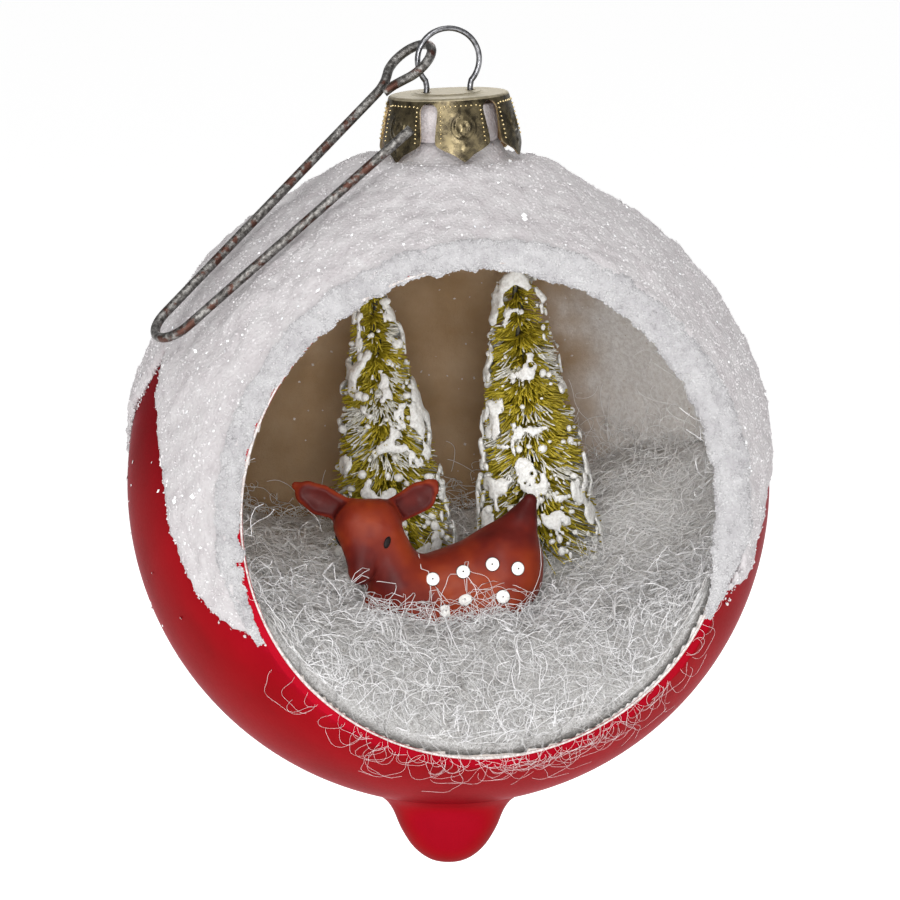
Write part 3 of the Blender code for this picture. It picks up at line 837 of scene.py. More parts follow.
def crust_shape(azimuth, polar):
    """(depth above the lower edge, outer reach) of the crust at each place."""
    place = on_ball(azimuth, polar, BALL_RADIUS)
    ragged = 2.6 * (noise(place, 3.2, 21) - 0.5) + 1.6 * (noise(place, 1.3, 22) - 0.5)
    depth = place[..., 2] - crust_edge_height(np.degrees(azimuth)) + ragged
    heap = np.interp(np.degrees(polar), *zip(*CRUST_HEAP))
    lumps = 0.8 * (noise(place, 5.0, 23) - 0.5) + 0.45 * (noise(place, 1.6, 24) - 0.5)
    lumps += 0.3 * (noise(place, 0.8, 25) - 0.5)
    calm = smoothstep(np.degrees(polar), 12.0, 17.0)
    taper = smoothstep(depth, -0.2, 2.4)
    rise = (heap - BALL_RADIUS - 0.15 + lumps * (0.25 + 0.75 * calm)) * taper
    dent = hook_dent(on_ball(azimuth, polar, BALL_RADIUS + 1.3))
    return depth, BALL_RADIUS + 0.15 + np.maximum(rise - dent, 0.0)


def make_crust():
    """The coat of glitter snow over the top of the ball, thin and ragged at its lower edge."""
    polar, azimuth = ball_grid(CRUST_TOP, CRUST_BOTTOM, 154, 508)
    depth, reach = crust_shape(azimuth, polar)
    outer = on_ball(azimuth, polar, reach)
    foot = np.interp(np.degrees(polar), *zip(*CRUST_FOOT))
    inner = on_ball(azimuth, polar, np.minimum(foot, reach - 0.05))
    keep = whole_cells((depth > 0) & (outer[..., 1] > WINDOW_Y - 0.4), wrap=True)
    points, faces = slab(outer, inner, keep, wrap=True)
    faces = [face[::-1] for face in faces]
    white = glitter_snow("glitter_snow", (0.44, 0.41, 0.42), (0.52, 0.50, 0.505), 0.12)
    add_piece("snow_coat", points, faces, [white], "ornament", ["snow_crust"])


def crust_places(count, rng, reach_down):
    """Random places on the crust, or a little below its edge, and the ways that it faces."""
    lowest, highest = np.cos(np.radians([CRUST_BOTTOM, CRUST_TOP + 0.35]))
    polar = np.arccos(rng.uniform(lowest, highest, count))
    azimuth = rng.uniform(-math.pi, math.pi, count)
    depth, reach = crust_shape(azimuth, polar)
    places = on_ball(azimuth, polar, reach)
    kept = (depth > 0.3 - reach_down) & (places[:, 1] > WINDOW_Y - 0.2)
    return places[kept], unit(places[kept])


def bead_surface(turn, around, size):
    """A place on the bead of snow along the rim, and the way it faces."""
    side = np.cos(turn)
    radius = 39.2 - 0.9 * side + (2.3 + 0.5 * side) * size * np.cos(around)
    y = WINDOW_Y + 0.1 * size - (0.72 + 0.25 * side) * size * np.sin(around)
    place = xyz(radius * np.cos(turn), y, radius * np.sin(turn))
    facing = xyz(np.cos(around) * np.cos(turn), -np.sin(around), np.cos(around) * np.sin(turn))
    rough = 0.8 * (noise(place, 2.4, 31) - 0.5) + 0.6 * (noise(place, 1.0, 32) - 0.5)
    return place + facing * (rough * size)[..., None], facing


BEAD_START, BEAD_STOP = math.radians(-27), math.radians(209)


def bead_size(turn):
    """1 along most of the bead, falling to a thin end at each side."""
    share = (turn - BEAD_START) / (BEAD_STOP - BEAD_START)
    return 0.25 + 0.75 * smoothstep(np.minimum(share, 1 - share), 0.0, 0.09)


def make_bead():
    """The rough bead of snow that folds over the upper part of the window's rim."""
    steps, sides = 620, 26
    along = np.linspace(BEAD_START, BEAD_STOP, steps)
    turn, around = np.meshgrid(along, full_turn(sides), indexing="ij")
    places, _ = bead_surface(turn, around, bead_size(turn))
    faces = grid_faces(steps, sides, wrap=True).tolist()
    last = (steps - 1) * sides
    faces += [list(range(sides))[::-1], list(range(last, last + sides))]
    # Painted shade: the crust's snow in a darker copy, so that the bead, which faces the front lamps,
    # keeps the crust's tone.
    white = glitter_snow("rim_snow", (0.33, 0.32, 0.33), (0.42, 0.413, 0.42), 0.14)
    add_piece(
        "rim_bead", places.reshape(-1, 3), faces, [white], "ornament", ["rim_snow"]
    )


def add_grains(name, made, material):
    """A piece of loose grains, each with flat faces."""
    points, faces = made
    add_piece(name, points, faces, [material], "ornament", flat=True)


def make_grains():
    """Fine grains all over the crust and the bead, and larger glitter flakes among them."""
    rng = np.random.default_rng(41)
    crust_grains, bead_grains, flakes, strays = 36000, 6500, 900, 26
    places, facing = crust_places(crust_grains, rng, 1.2)
    sizes = rng.uniform(0.13, 0.36, len(places))
    snow = glitter_snow("loose_grains", (0.52, 0.495, 0.505), (0.66, 0.645, 0.65), 0.04)
    add_grains("snow_grains", grains(places, facing, sizes, rng, 0.7, 0.4), snow)

    turn = rng.uniform(BEAD_START, BEAD_STOP, bead_grains)
    around = rng.uniform(-0.3, math.pi + 0.3, bead_grains)
    places, facing = bead_surface(turn, around, bead_size(turn))
    sizes = rng.uniform(0.16, 0.42, len(places))
    # Painted shade: a darker copy of the crust's grains, for the grains on the bead.
    frost = glitter_snow("rim_grains", (0.36, 0.35, 0.36), (0.49, 0.485, 0.49), 0.04)
    add_grains("rim_grains", grains(places, facing, sizes, rng, 0.9, 0.5), frost)

    places, facing = crust_places(flakes, rng, 1.5)
    azimuth, polar = np.radians(rng.uniform([-110, 80], [-72, 130], (strays, 2))).T
    fallen = on_ball(azimuth, polar, BALL_RADIUS + 0.1)
    places = np.concatenate([places + facing * 0.15, fallen])
    facing = np.concatenate([facing, unit(fallen)])
    sizes = rng.uniform(0.22, 0.38, len(places))
    sizes = sizes * np.where(rng.random(len(places)) < 0.12, 1.9, 1.0)
    add_grains("glitter_flakes", grains(places, facing, sizes, rng, 0.25, 0.12), bright_flake())


def make_wall_specks():
    """Grains of frost that stand out on the inside wall, mostly near the rim."""
    rng = np.random.default_rng(43)
    count = 9000
    bearing = rng.uniform(-math.pi, math.pi, count)
    angle = RIM_ANGLE + rng.exponential(0.42, count)
    places = about_window(bearing, angle, BALL_RADIUS - GLASS_WALL - 0.75)
    side = 0.35 + 0.65 * smoothstep(places[:, 0], -40.0, 25.0)
    kept = (angle < 2.9) & (places[:, 2] > -20.0) & (rng.random(count) < side)
    kept &= np.hypot(places[:, 0], places[:, 1]) > 9.5
    places = places[kept]
    sizes = rng.uniform(0.12, 0.36, len(places))
    pale = glitter_snow("wall_specks", (0.50, 0.42, 0.36), (0.82, 0.78, 0.77), 0.05)
    made = grains(places, -unit(places), sizes, rng, 0.6, 0.4)
    add_grains("wall_specks", made, pale)


# ---------------------------------------------------------------- cap, ring and hook


PLATE_TOP = 61.0
CAP_ROLL = math.radians(-2.5)
TABS = 6
SHEET = 0.4
RING_HEIGHT, RING_RADIUS, RING_WIRE = 66.2, 4.85, 0.45
LEG_SPREAD, HOLE_RADIUS = 3.5, 0.8


def in_cap(points):
    """Cap coordinates, whose zero is the middle of the plate, to the ball's."""
    x, y, z = np.moveaxis(np.asarray(points, float), -1, 0)
    c, s = math.cos(CAP_ROLL), math.sin(CAP_ROLL)
    return xyz(c * x + s * z, y, -s * x + c * z + PLATE_TOP)


def embossing(across, height):
    """How far the stamped pattern of a tab stands out, by place across and down the tab."""
    away = np.hypot(across, height + 4.4)
    below = np.hypot(across - 0.2, height + 7.4)
    # Two rings and two knobs: the distance that counts, the radius, the width and the rise.
    rings = [(away, 1.15, 0.26, 0.30), (away, 1.95, 0.2, 0.12)]
    knobs = [(away, 0.0, 0.4, 0.22), (below, 0.0, 0.3, 0.20)]
    return sum(
        rise * np.exp(-(((near - radius) / width) ** 2))
        for near, radius, width, rise in rings + knobs
    )


# The cap's half section, from the middle of its plate out and down a tab: radius and height.
CAP_SECTION = [
    (0.0, 0.30), (4.6, 0.28), (5.2, 0.2), (5.8, 0.05), (6.4, 0.0), (8.6, 0.0), (9.15, -0.12),
    (9.4, -0.5), (9.9, -2.4), (10.5, -5.0), (10.9, -7.0), (11.15, -9.0), (11.25, -10.4),
]
PINHOLE = 0.01


def cap_sheet(segments):
    """The stamped sheet before its slots are cut: points, faces and each face's material."""
    upper = smooth_path(CAP_SECTION, 7)
    upper[:, 0] = np.maximum(upper[:, 0], 0.0)
    upper[0, 0] = PINHOLE
    turn = full_turn(segments)
    way = np.gradient(upper, axis=0)
    normal = unit(np.stack([-way[:, 1], way[:, 0]], axis=-1))
    tab = math.pi / TABS
    across = ((turn % (2 * tab)) - tab)[None, :] * upper[:, :1]
    stamp = embossing(across, upper[:, 1:2]) * smoothstep(-upper[:, 1:2], 1.0, 2.0)
    sheets = []
    for offset in (0.0, -SHEET):
        radius = upper[:, :1] + normal[:, :1] * (stamp + offset)
        height = upper[:, 1:2] + normal[:, 1:2] * (stamp + offset)
        radius = np.maximum(radius, PINHOLE)
        sheets.append(xyz(radius * np.cos(turn), radius * np.sin(turn), height))
    rows = len(upper)
    count = rows * segments
    top = grid_faces(rows, segments, wrap=True)
    n = np.arange(segments)
    after = (n + 1) % segments
    last = (rows - 1) * segments
    hem = np.stack([last + n, last + after, count + last + after, count + last + n], axis=-1)
    faces = top[:, ::-1].tolist() + (top + count).tolist() + hem[:, ::-1].tolist()
    faces += [list(range(segments)), [count + k for k in range(segments)][::-1]]
    points = in_cap(np.concatenate([s.reshape(-1, 3) for s in sheets]))
    plate = np.repeat(upper[:-1, 1] > -0.3, segments)
    kinds = np.concatenate([np.where(plate, 0, 1), np.full(len(top), 2), np.full(segments + 2, 3)])
    kinds[-2:] = 0
    return points, faces, kinds


def make_cap():
    """The stamped crown cap, with beaded tabs cut out of one thin sheet."""
    points, faces, kinds = cap_sheet(384)
    # One gilded sheet in several tones: the tabs are dark as a painted reflection of dark surroundings,
    # and the cut edges and beads are bright as a painted highlight.
    materials = [
        stamped_gold("cap_plate", (0.28, 0.24, 0.16), (0.44, 0.39, 0.28), 0.55),
        stamped_gold("cap_tabs_dark_reflection", (0.055, 0.045, 0.029), (0.17, 0.138, 0.078), 0.24),
        stamped_gold("cap_inside", (0.34, 0.20, 0.11), (0.50, 0.33, 0.18), 0.35),
        stamped_gold("cap_edges_highlight", (0.55, 0.42, 0.20), (0.80, 0.66, 0.38), 0.22),
    ]
    cap = add_piece("crown_cap", points, faces, materials, "cap", ["cap_crown"], kinds)
    face_out(cap.data)
    cut_slots(cap)
    # The beads get the painted highlight of the cut edges.
    add_beads(materials[3])


def slot_outline():
    """A slot between two tabs, round at its top and widening to the ogee of the tabs' feet."""
    hole, neck = 1.45, -2.05
    arch = [(hole * math.cos(a), neck + hole * math.sin(a)) for a in np.linspace(0, math.pi, 17)]
    waist = [(-1.25, -4.6), (-1.2, -6.3), (-1.5, -7.15)]
    ogee = [(-2.8, -7.9), (-4.2, -8.6), (-5.3, -9.5), (-6.2, -10.0)]
    foot = smooth_path(waist + ogee, 5).tolist()
    foot.append([-6.2, -11.5])
    return arch + foot + [(-s, t) for s, t in foot[::-1]]


def prism(outline, low, high, place):
    """A closed prism over an outline of (s, t), with place(s, t, r) giving each point."""
    size = len(outline)
    points = [place(s, t, r) for r in (low, high) for s, t in outline]
    faces = [list(range(size)), list(range(size, 2 * size))[::-1]]
    for i in range(size):
        j = (i + 1) % size
        faces.append([j, i, size + i, size + j])
    return np.array(points), faces


def cut_slots(cap):
    """Cuts the slots and the hanger's two holes out of the cap, leaving cut edges with a painted
    highlight.
    Neighbouring slots overlap below the tabs, so every other slot is cut at once."""
    slots = []
    for turn in full_turn(TABS):
        c, s = math.cos(turn), math.sin(turn)
        place = lambda a, t, r: (r * c - a * s, r * s + a * c, t)
        slots.append(prism(slot_outline(), 7.9, 13.5, place))
    round_hole = [(HOLE_RADIUS * math.cos(a), HOLE_RADIUS * math.sin(a)) for a in full_turn(24)]
    holes = []
    for side in (-LEG_SPREAD, LEG_SPREAD):
        outline = [(x + side, y) for x, y in round_hole]
        holes.append(prism(outline, -3.0, 2.0, lambda x, y, r: (x, y, r)))
    cutters = []
    for parts in (slots[0::2], slots[1::2], holes):
        points, faces = gather(parts)
        mesh = bpy.data.meshes.new("cap_cutter")
        mesh.from_pydata((in_cap(points) * MM + np.array(CENTRE)).tolist(), [], faces)
        for material in cap.data.materials:
            mesh.materials.append(material)
        mesh.polygons.foreach_set("material_index", np.full(len(faces), 3, dtype=np.int32))
        face_out(mesh)
        cutter = bpy.data.objects.new("cap_cutter", mesh)
        bpy.context.scene.collection.objects.link(cutter)
        modifier = cap.modifiers.new("cut", "BOOLEAN")
        modifier.operation = "DIFFERENCE"
        modifier.solver = "EXACT"
        modifier.object = cutter
        cutters.append(cutter)
    bake(cap)
    for cutter in cutters:
        bpy.data.objects.remove(cutter, do_unlink=True)
    cap.data.set_sharp_from_angle(angle=math.radians(35))


def face_out(mesh):
    """Makes every face of a closed mesh face outwards."""
    work = bmesh.new()
    work.from_mesh(mesh)
    bmesh.ops.recalc_face_normals(work, faces=work.faces)
    work.to_mesh(mesh)
    work.free()


def bake(obj):
    """Applies an object's modifiers to its mesh."""
    view = bpy.context.evaluated_depsgraph_get()
    view.update()
    finished = bpy.data.meshes.new_from_object(obj.evaluated_get(view))
    obj.modifiers.clear()
    obj.data = finished


def add_beads(material):
    """The rows of small raised beads along the edges of every tab."""
    places = []
    for k in range(TABS):
        middle = 2 * math.pi * (k + 0.5) / TABS
        edge = [(side * (3.15 + 0.05 * n), -1.3 - 0.66 * n) for side in (-1, 1) for n in range(9)]
        top = [(s, -1.15) for s in np.linspace(-2.5, 2.5, 7)]
        for across, height in edge + top:
            radius = np.interp(-height, [0.5, 2.4, 5.0, 7.0], [9.4, 9.9, 10.5, 10.9]) + 0.02
            turn = middle + across / radius
            places.append((radius * math.cos(turn), radius * math.sin(turn), height))
    shape, sides = ball_shape(1, 0.19)
    points = (in_cap(places)[:, None] + shape[None]).reshape(-1, 3)
    faces = copied_faces(sides, len(shape), len(places))
    add_piece("cap_beads", points, faces.tolist(), [material], "cap")


def make_ring():
    """The sprung hanger: its ring and the two legs that grip the neck."""
    low = math.radians(-42)
    angles = np.linspace(low, math.pi - low, 90)
    height = RING_HEIGHT + RING_RADIUS * np.sin(angles)
    ring = xyz(RING_RADIUS * np.cos(angles), 0.0 * angles, height)
    leg = [(3.42, 61.7), (3.7, 59.8), (4.4, 56.0), (5.0, 52.0), (5.2, 48.5)]
    right = smooth_path([ring[0], *[(x, 0.0, z) for x, z in leg]], 7)[1:]
    left = right * np.array([-1.0, 1.0, 1.0])
    path = np.concatenate([right[::-1], ring, left])
    points, faces = round_wire(path, RING_WIRE, 18)
    add_piece("hanger_wire", points, faces, [dark_wire()], "hanger", ["hanger_loop"])


def make_hook():
    """The weathered ornament hook."""
    points, faces = round_wire(hook_path(), HOOK_WIRE, 18)
    add_piece("hook_wire", points, faces, [weathered_wire()], "hook", ["ornament_hook"])


# ---------------------------------------------------------------- trees


TREE_HEIGHT, TREE_RADIUS, SPIRAL = 50.0, 10.0, 6.5
TREE_FEET = {
    "left": (np.array([-6.1, 13.4, -12.0]), np.array([-10.4, 14.3, 38.0])),
    "right": (np.array([16.3, 8.0, -12.0]), np.array([11.7, 8.9, 39.0])),
}


def tree_axes(side):
    """A tree's foot, and its axes as rows: two across the stem and one up it."""
    foot, top = TREE_FEET[side]
    up = unit(top - foot)
    first = unit(np.cross([0.0, 1.0, 0.0], up))
    return foot, np.stack([first, np.cross(up, first), up])


# How wide each tree is at these shares of its height, as shares of TREE_RADIUS.
TREE_LEVELS = [0.0, 0.05, 0.25, 0.50, 0.78, 0.93, 1.0]
TREE_OUTLINES = {
    "left": [0.98, 1.0, 0.84, 0.60, 0.30, 0.16, 0.06],
    "right": [0.98, 1.0, 0.86, 0.66, 0.42, 0.26, 0.10],
}


def tree_envelope(side, height):
    """The radius that a tree's bristles reach, by height up its stem."""
    share = np.clip(height / TREE_HEIGHT, 0, 1)
    return TREE_RADIUS * np.interp(share, TREE_LEVELS, TREE_OUTLINES[side])


def make_bristles(side, seed):
    """Bristles that leave the twisted stem in a spiral, olive inside and frosted at the tips."""
    rng = np.random.default_rng(seed)
    foot, axes = tree_axes(side)
    count, steps = 4000, 4
    height = TREE_HEIGHT * (1 - np.sqrt(rng.uniform(0.0, 1.0, count))) * 0.99 + 0.3
    height = 0.45 * height + 0.55 * rng.uniform(0.3, TREE_HEIGHT - 0.3, count)
    turn = 2 * math.pi * (height / SPIRAL + rng.integers(0, 2, count) * 0.5)
    turn = turn + rng.normal(0, 0.42, count)
    long = tree_envelope(side, height) * rng.uniform(0.80, 1.06, count)
    droop = rng.normal(-0.32, 0.16, count)
    share = np.linspace(0.04, 1.0, steps)[None]
    reach = long[:, None] * share
    bend = rng.normal(0, 0.12, count)[:, None] * share**2
    heading = turn[:, None] + bend
    stray = rng.normal(0, 0.35, count)[:, None] * share**2
    rise = height[:, None] + reach * droop[:, None] + stray
    paths = foot + xyz(reach * np.cos(heading), reach * np.sin(heading), rise) @ axes
    thick = rng.uniform(0.12, 0.19, count)[:, None] * np.linspace(1.1, 0.75, steps)[None]
    points, faces = tubes(paths, thick)
    snowy = noise(paths[:, -1], 3.2, 51) * 0.6 + noise(paths[:, -1], 1.4, 52) * 0.4
    frosted = (snowy > 0.64 - 0.06 * rng.random(count)) | (rng.random(count) < 0.05)
    kinds = np.zeros((count, (steps - 1) * 3), int)
    kinds[:, -3:] = np.where(frosted, 1, 0)[:, None]
    ends = np.stack([np.zeros(count, int), frosted.astype(int)], axis=-1)
    kinds = np.concatenate([kinds.reshape(-1), ends.reshape(-1)])
    olive = [(0.35, (0.29, 0.225, 0.008)), (0.5, (0.44, 0.345, 0.014)), (0.66, (0.56, 0.45, 0.035))]
    pale = [(0.35, (0.62, 0.60, 0.50)), (0.6, (0.84, 0.83, 0.78))]
    tones = (("olive", olive), ("frosted", pale))
    materials = [bristle_paint(f"{name}_bristle_{side}", stops) for name, stops in tones]
    add_piece(
        f"tree_{side}_brush", points, faces, materials, "ornament",
        [f"tree_{side}_bristles"], kinds,
    )


def make_tree_snow(side, seed, material):
    """Clots of white paste on the outside of a tree, shaped by a noise in the brush's skin."""
    foot, axes = tree_axes(side)
    step = 0.32
    low = np.array([-12.0, -12.0, -1.0])
    grid = lattice(low, [12.0, 12.0, TREE_HEIGHT + 1.5], step)
    radius = np.hypot(grid[..., 0], grid[..., 1])
    wander = 1.1 * (noise(grid, 2.6, seed) - 0.5)
    shell = np.abs(radius - tree_envelope(side, grid[..., 2]) * 0.97 - wander)
    flat = grid / np.array([1.0, 1.0, 1.1])
    clots = 0.66 * noise(flat, 2.6, seed + 1) + 0.34 * noise(flat, 1.0, seed + 2)
    thick = 3.4 * (clots - 0.575) + 0.05
    field = shell - np.minimum(thick, 0.45)
    edge = np.zeros_like(field, bool)
    edge[[0, -1]] = True
    edge[:, [0, -1]] = True
    edge[:, :, [0, -1]] = True
    field[edge] = 1.0
    points, faces = skin(field, low, step)
    add_piece(
        f"tree_{side}_snow", foot + points @ axes, faces, [material], "ornament"
    )


def blobs(centres, sizes, rng):
    """Small lumpy balls."""
    shape, sides = ball_shape(2, 1.0)
    stretch = rng.uniform(0.7, 1.15, (len(centres), 1, 3))
    points = (centres[:, None] + shape[None] * stretch * sizes[:, None, None]).reshape(-1, 3)
    lump = 0.35 * (noise(points, 0.7, 53)[:, None] - 0.5)
    points = points + lump * np.tile(shape, (len(centres), 1))
    return points, copied_faces(sides, len(shape), len(centres)).tolist()


def make_tree_blobs(side, seed, material):
    """Drops of paste caught on the ends of the bristles."""
    rng = np.random.default_rng(seed)
    foot, axes = tree_axes(side)
    count = 260
    height = TREE_HEIGHT * (1 - np.sqrt(rng.uniform(0.0, 1.0, count)))
    turn = rng.uniform(0, 2 * math.pi, count)
    reach = tree_envelope(side, height) * rng.uniform(0.86, 1.0, count)
    sizes = 0.26 + 0.62 * rng.random(count) ** 2.5
    centres = foot + xyz(reach * np.cos(turn), reach * np.sin(turn), height - 0.3 * reach) @ axes
    points, faces = blobs(centres, sizes, rng)
    add_piece(f"tree_{side}_blobs", points, faces, [material], "ornament")


# ---------------------------------------------------------------- fawn


def turn_fawn(points):
    """The fawn's own axes, whose x runs along its flank, to the ball's."""
    return spin(points, FAWN_TURN)


def cone_field(grid, first, second):
    """Distance to a limb that tapers between two spheres, each (x, y, z, radius)."""
    a, b = np.array(first[:3]), np.array(second[:3])
    along = b - a
    share = np.clip(((grid - a) @ along) / np.dot(along, along), 0.0, 1.0)
    nearest = a + share[..., None] * along
    return np.linalg.norm(grid - nearest, axis=-1) - (first[3] + (second[3] - first[3]) * share)


def join_fields(a, b, blend):
    """The union of two shapes with a fillet of about blend millimetres."""
    mix = np.clip(0.5 + 0.5 * (b - a) / blend, 0.0, 1.0)
    return b + (a - b) * mix - blend * mix * (1 - mix)


EAR_THIN, EAR_PUSH = 0.42, 1.15


def chain_field(grid, spheres, thin):
    """Distance to a chain of spheres that is flattened in y."""
    squeezed = grid / np.array([1.0, thin, 1.0])
    chain = [(x, y / thin, z, r) for x, y, z, r in spheres]
    fields = [cone_field(squeezed, first, second) for first, second in zip(chain, chain[1:])]
    return np.minimum.reduce(fields) * 0.6


def ear_field(grid, chain):
    """A leaf-shaped ear with a hollow front."""
    leaf = chain_field(grid, chain, EAR_THIN)
    return np.maximum(leaf, -chain_field(grid, ear_hollow(chain, EAR_PUSH), EAR_THIN))


LEFT_EAR = [
    (-14.6, -13.6, -2.9, 1.9), (-17.6, -13.3, -1.6, 2.1), (-19.8, -13.2, -0.7, 2.45),
    (-21.7, -13.1, 0.3, 2.0), (-23.5, -13.0, 1.5, 0.7),
]
RIGHT_EAR = [
    (-9.2, -12.6, -3.0, 2.0), (-6.5, -11.4, -1.7, 2.2), (-4.3, -10.8, -0.55, 2.4),
    (-3.0, -10.5, 0.6, 1.6), (-2.3, -10.4, 1.4, 0.8),
]


def ear_hollow(chain, push):
    """The hollow of an ear: its own chain, narrower and moved to the front."""
    return [(x, y - push, z, max(r - 0.62, 0.15)) for x, y, z, r in chain[1:]]


# The lying body, limb by limb: both ends as (x, y, z, radius), and the fillet where it joins.
FAWN_BODY = [
    ((-7.0, -12.2, -15.2, 4.9), (0.5, -10.7, -14.4, 5.4), 0.0),
    ((0.5, -10.7, -14.4, 5.4), (8.2, -10.0, -11.6, 6.1), 2.0),
    ((8.3, -10.2, -13.4, 5.9), (8.6, -10.0, -11.0, 5.6), 2.0),
    ((10.0, -9.4, -8.0, 4.1), (12.6, -8.8, -1.5, 1.15), 1.4),
    ((1.5, -10.4, -11.8, 2.8), (11.2, -9.0, -4.6, 1.6), 1.6),
    ((-8.0, -12.8, -13.6, 4.8), (-10.4, -13.4, -7.8, 4.2), 2.2),
    ((8.5, -13.6, -15.8, 3.7), (1.5, -16.0, -18.0, 2.1), 1.2),
    ((-11.0, -14.3, -17.4, 2.4), (-2.0, -16.4, -18.2, 1.9), 1.2),
]
BROW = ((-14.0, -13.8, -3.9, 3.4), (-10.9, -13.4, -3.9, 3.4))
MUZZLE = (-13.4, -17.4, -11.3, 1.6)
LEFT_CHEEK, RIGHT_CHEEK = (-14.0, -14.2, -5.2, 3.4), (-10.8, -14.2, -5.6, 3.5)


def fawn_field(grid):
    """Distance to the lying fawn's skin, in its own axes."""
    first, second, _ = FAWN_BODY[0]
    field = cone_field(grid, first, second)
    for first, second, blend in FAWN_BODY[1:]:
        field = join_fields(field, cone_field(grid, first, second), blend)
    left = cone_field(grid, LEFT_CHEEK, MUZZLE)
    right = cone_field(grid, RIGHT_CHEEK, MUZZLE)
    head = join_fields(cone_field(grid, *BROW), join_fields(left, right, 1.6), 1.6)
    for part in (head, ear_field(grid, LEFT_EAR), ear_field(grid, RIGHT_EAR)):
        field = join_fields(field, part, 0.7)
    return field


def find_skin(x, z, start=-26.0, way=(0.0, 1.0, 0.0)):
    """Walks to the fawn's skin from in front of it. Returns the place and the way it faces."""
    place = np.array([x, start, z])
    for _ in range(60):
        place = place + np.array(way) * fawn_field(place[None])[0] * 0.8
    nudge = 0.05 * np.eye(3)
    facing = unit(fawn_field(place + nudge) - fawn_field(place - nudge))
    return place, facing


def disc(place, facing, radius, height, stretch=1.0, lean=0.0):
    """A flattened round daub on a surface, as points and faces."""
    work = bmesh.new()
    bmesh.ops.create_uvsphere(work, u_segments=22, v_segments=10, radius=1.0)
    shape = np.array([v.co[:] for v in work.verts])
    faces = [[v.index for v in f.verts] for f in work.faces]
    work.free()
    up = np.array([math.sin(lean), 0.0, math.cos(lean)])
    side = unit(np.cross(facing, up))
    up = np.cross(side, facing)
    scaled = shape * np.array([radius, radius * stretch, height])
    points = place + scaled[:, :1] * side + scaled[:, 1:2] * up + scaled[:, 2:] * facing
    return points, faces


# The places of the white spots on the flank: x and z in the fawn's own axes.
SPOTS = [
    (-2.4, -12.6), (2.3, -11.5), (6.8, -10.3), (10.7, -11.0), (2.6, -15.7), (8.4, -15.2),
    (-0.4, -17.4),
]


def make_fawn():
    """The painted resin fawn, with its eyes and its ringed white spots."""
    step = 0.27
    low = np.array([-26.5, -22.0, -22.0])
    points, faces = skin(fawn_field(lattice(low, [16.5, -2.5, 5.0], step)), low, step)
    fawn = add_piece(
        "painted_fawn", turn_fawn(points), faces, [fawn_paint()], "ornament", ["fawn"]
    )
    values = fawn_wash_and_shade(points)
    fawn.data.attributes.new("wash_and_shade", "FLOAT", "POINT").data.foreach_set("value", values)

    white, rings = [], []
    for x, z in SPOTS:
        place, facing = find_skin(x, z)
        white.append(disc(place, facing, 1.06, 0.26))
        rings.append(disc(place, facing, 1.14, 0.12))
        rings.append(disc(place + facing * 0.22, facing, 0.15, 0.10))
    place, facing = find_skin(-9.4, -6.7)
    rings.append(disc(place, facing, 0.52, 0.26, 1.9, math.radians(24)))
    other, turned_away = find_skin(-24.0, -6.9, -14.6, (1.0, 0.0, 0.0))
    rings.append(disc(other, turned_away, 0.52, 0.26, 1.9, math.radians(-10)))
    points, faces = gather(white)
    chalk = spot_paint("spot_white", (0.86, 0.85, 0.82), 0.45)
    add_piece("fawn_spots", turn_fawn(points), faces, [chalk], "ornament")
    points, faces = gather(rings)
    black = spot_paint("eye_black", (0.010, 0.006, 0.006), 0.35)
    add_piece("fawn_eyes", turn_fawn(points), faces, [black], "ornament")


def fawn_wash_and_shade(points):
    """How dark the fawn is at each point, from 0 to 1: red-brown paint on the face, back and tail, with
    painted shade in the ear hollows and under the neck.
    """
    x, y, z = points.T
    cloud = noise(points, 3.2, 61) - 0.5
    fine = noise(points, 1.1, 62) - 0.5
    face = np.exp(-(((x + 13.0 - 0.08 * (z + 8)) / 2.4) ** 2)) * smoothstep(-y, 14.5, 18.5)
    face *= smoothstep(-z, 3.0, 7.5)
    # Painted shade: darker inside the hollows of the ears.
    ear_hollow_shade = 0.0
    for chain in (LEFT_EAR, RIGHT_EAR):
        hollow = chain_field(points, ear_hollow(chain, EAR_PUSH), EAR_THIN)
        ear_hollow_shade = ear_hollow_shade + smoothstep(-hollow, -0.55, -0.05)
    # Painted shade under the neck and behind the jaw.
    neck = np.exp(-(((x + 7.5) / 4.0) ** 2 + ((z + 14.0) / 4.5) ** 2))
    back = 0.35 * smoothstep(z, -11.0, -6.0) * smoothstep(x, -4.0, 2.0)
    tail = 0.5 * smoothstep(z, -6.0, -2.0) * smoothstep(x, 9.0, 11.0)
    glow = 0.40 * np.exp(-(((x - 5.5) / 2.6) ** 2 + ((z + 14.5) / 2.6) ** 2))
    total = 0.28 + 0.45 * face + 0.75 * ear_hollow_shade + 0.45 * neck + back + tail - glow
    return np.clip(total + 0.55 * cloud + 0.25 * fine, 0.0, 1.0)


# ---------------------------------------------------------------- fibre bed


def bed_height(x, y):
    """Top of the fibre: low along the rim, higher behind the fawn and on the right."""
    rim = 0.8 - np.sqrt(np.maximum(37.0**2 - x * x, 12.0**2))
    inside = -18.4 + 5.0 * smoothstep(y, -14.0, 12.0) + 6.0 * (x / 35.0) ** 2
    drift = 6.0 * smoothstep(x, 8.0, 30.0) * smoothstep(y, 0.0, 20.0)
    share = 1 - (1 - np.clip((y - WINDOW_Y) / 12.5, 0.0, 1.0)) ** 2.3
    return rim * (1 - share) + (inside + drift) * share


def fluffy_height(x, y):
    """The bed's top with its soft lumps, a little higher where it meets the wall."""
    flat = xyz(x, y, np.zeros_like(x))
    lumps = 1.6 * (noise(flat, 5.0, 71) - 0.5) + 0.9 * (noise(flat, 1.8, 72) - 0.5)
    at_wall = 1.8 * smoothstep(np.hypot(x, y), 39.0, 46.0) * smoothstep(y, -15.0, 5.0)
    return bed_height(x, y) + lumps + at_wall


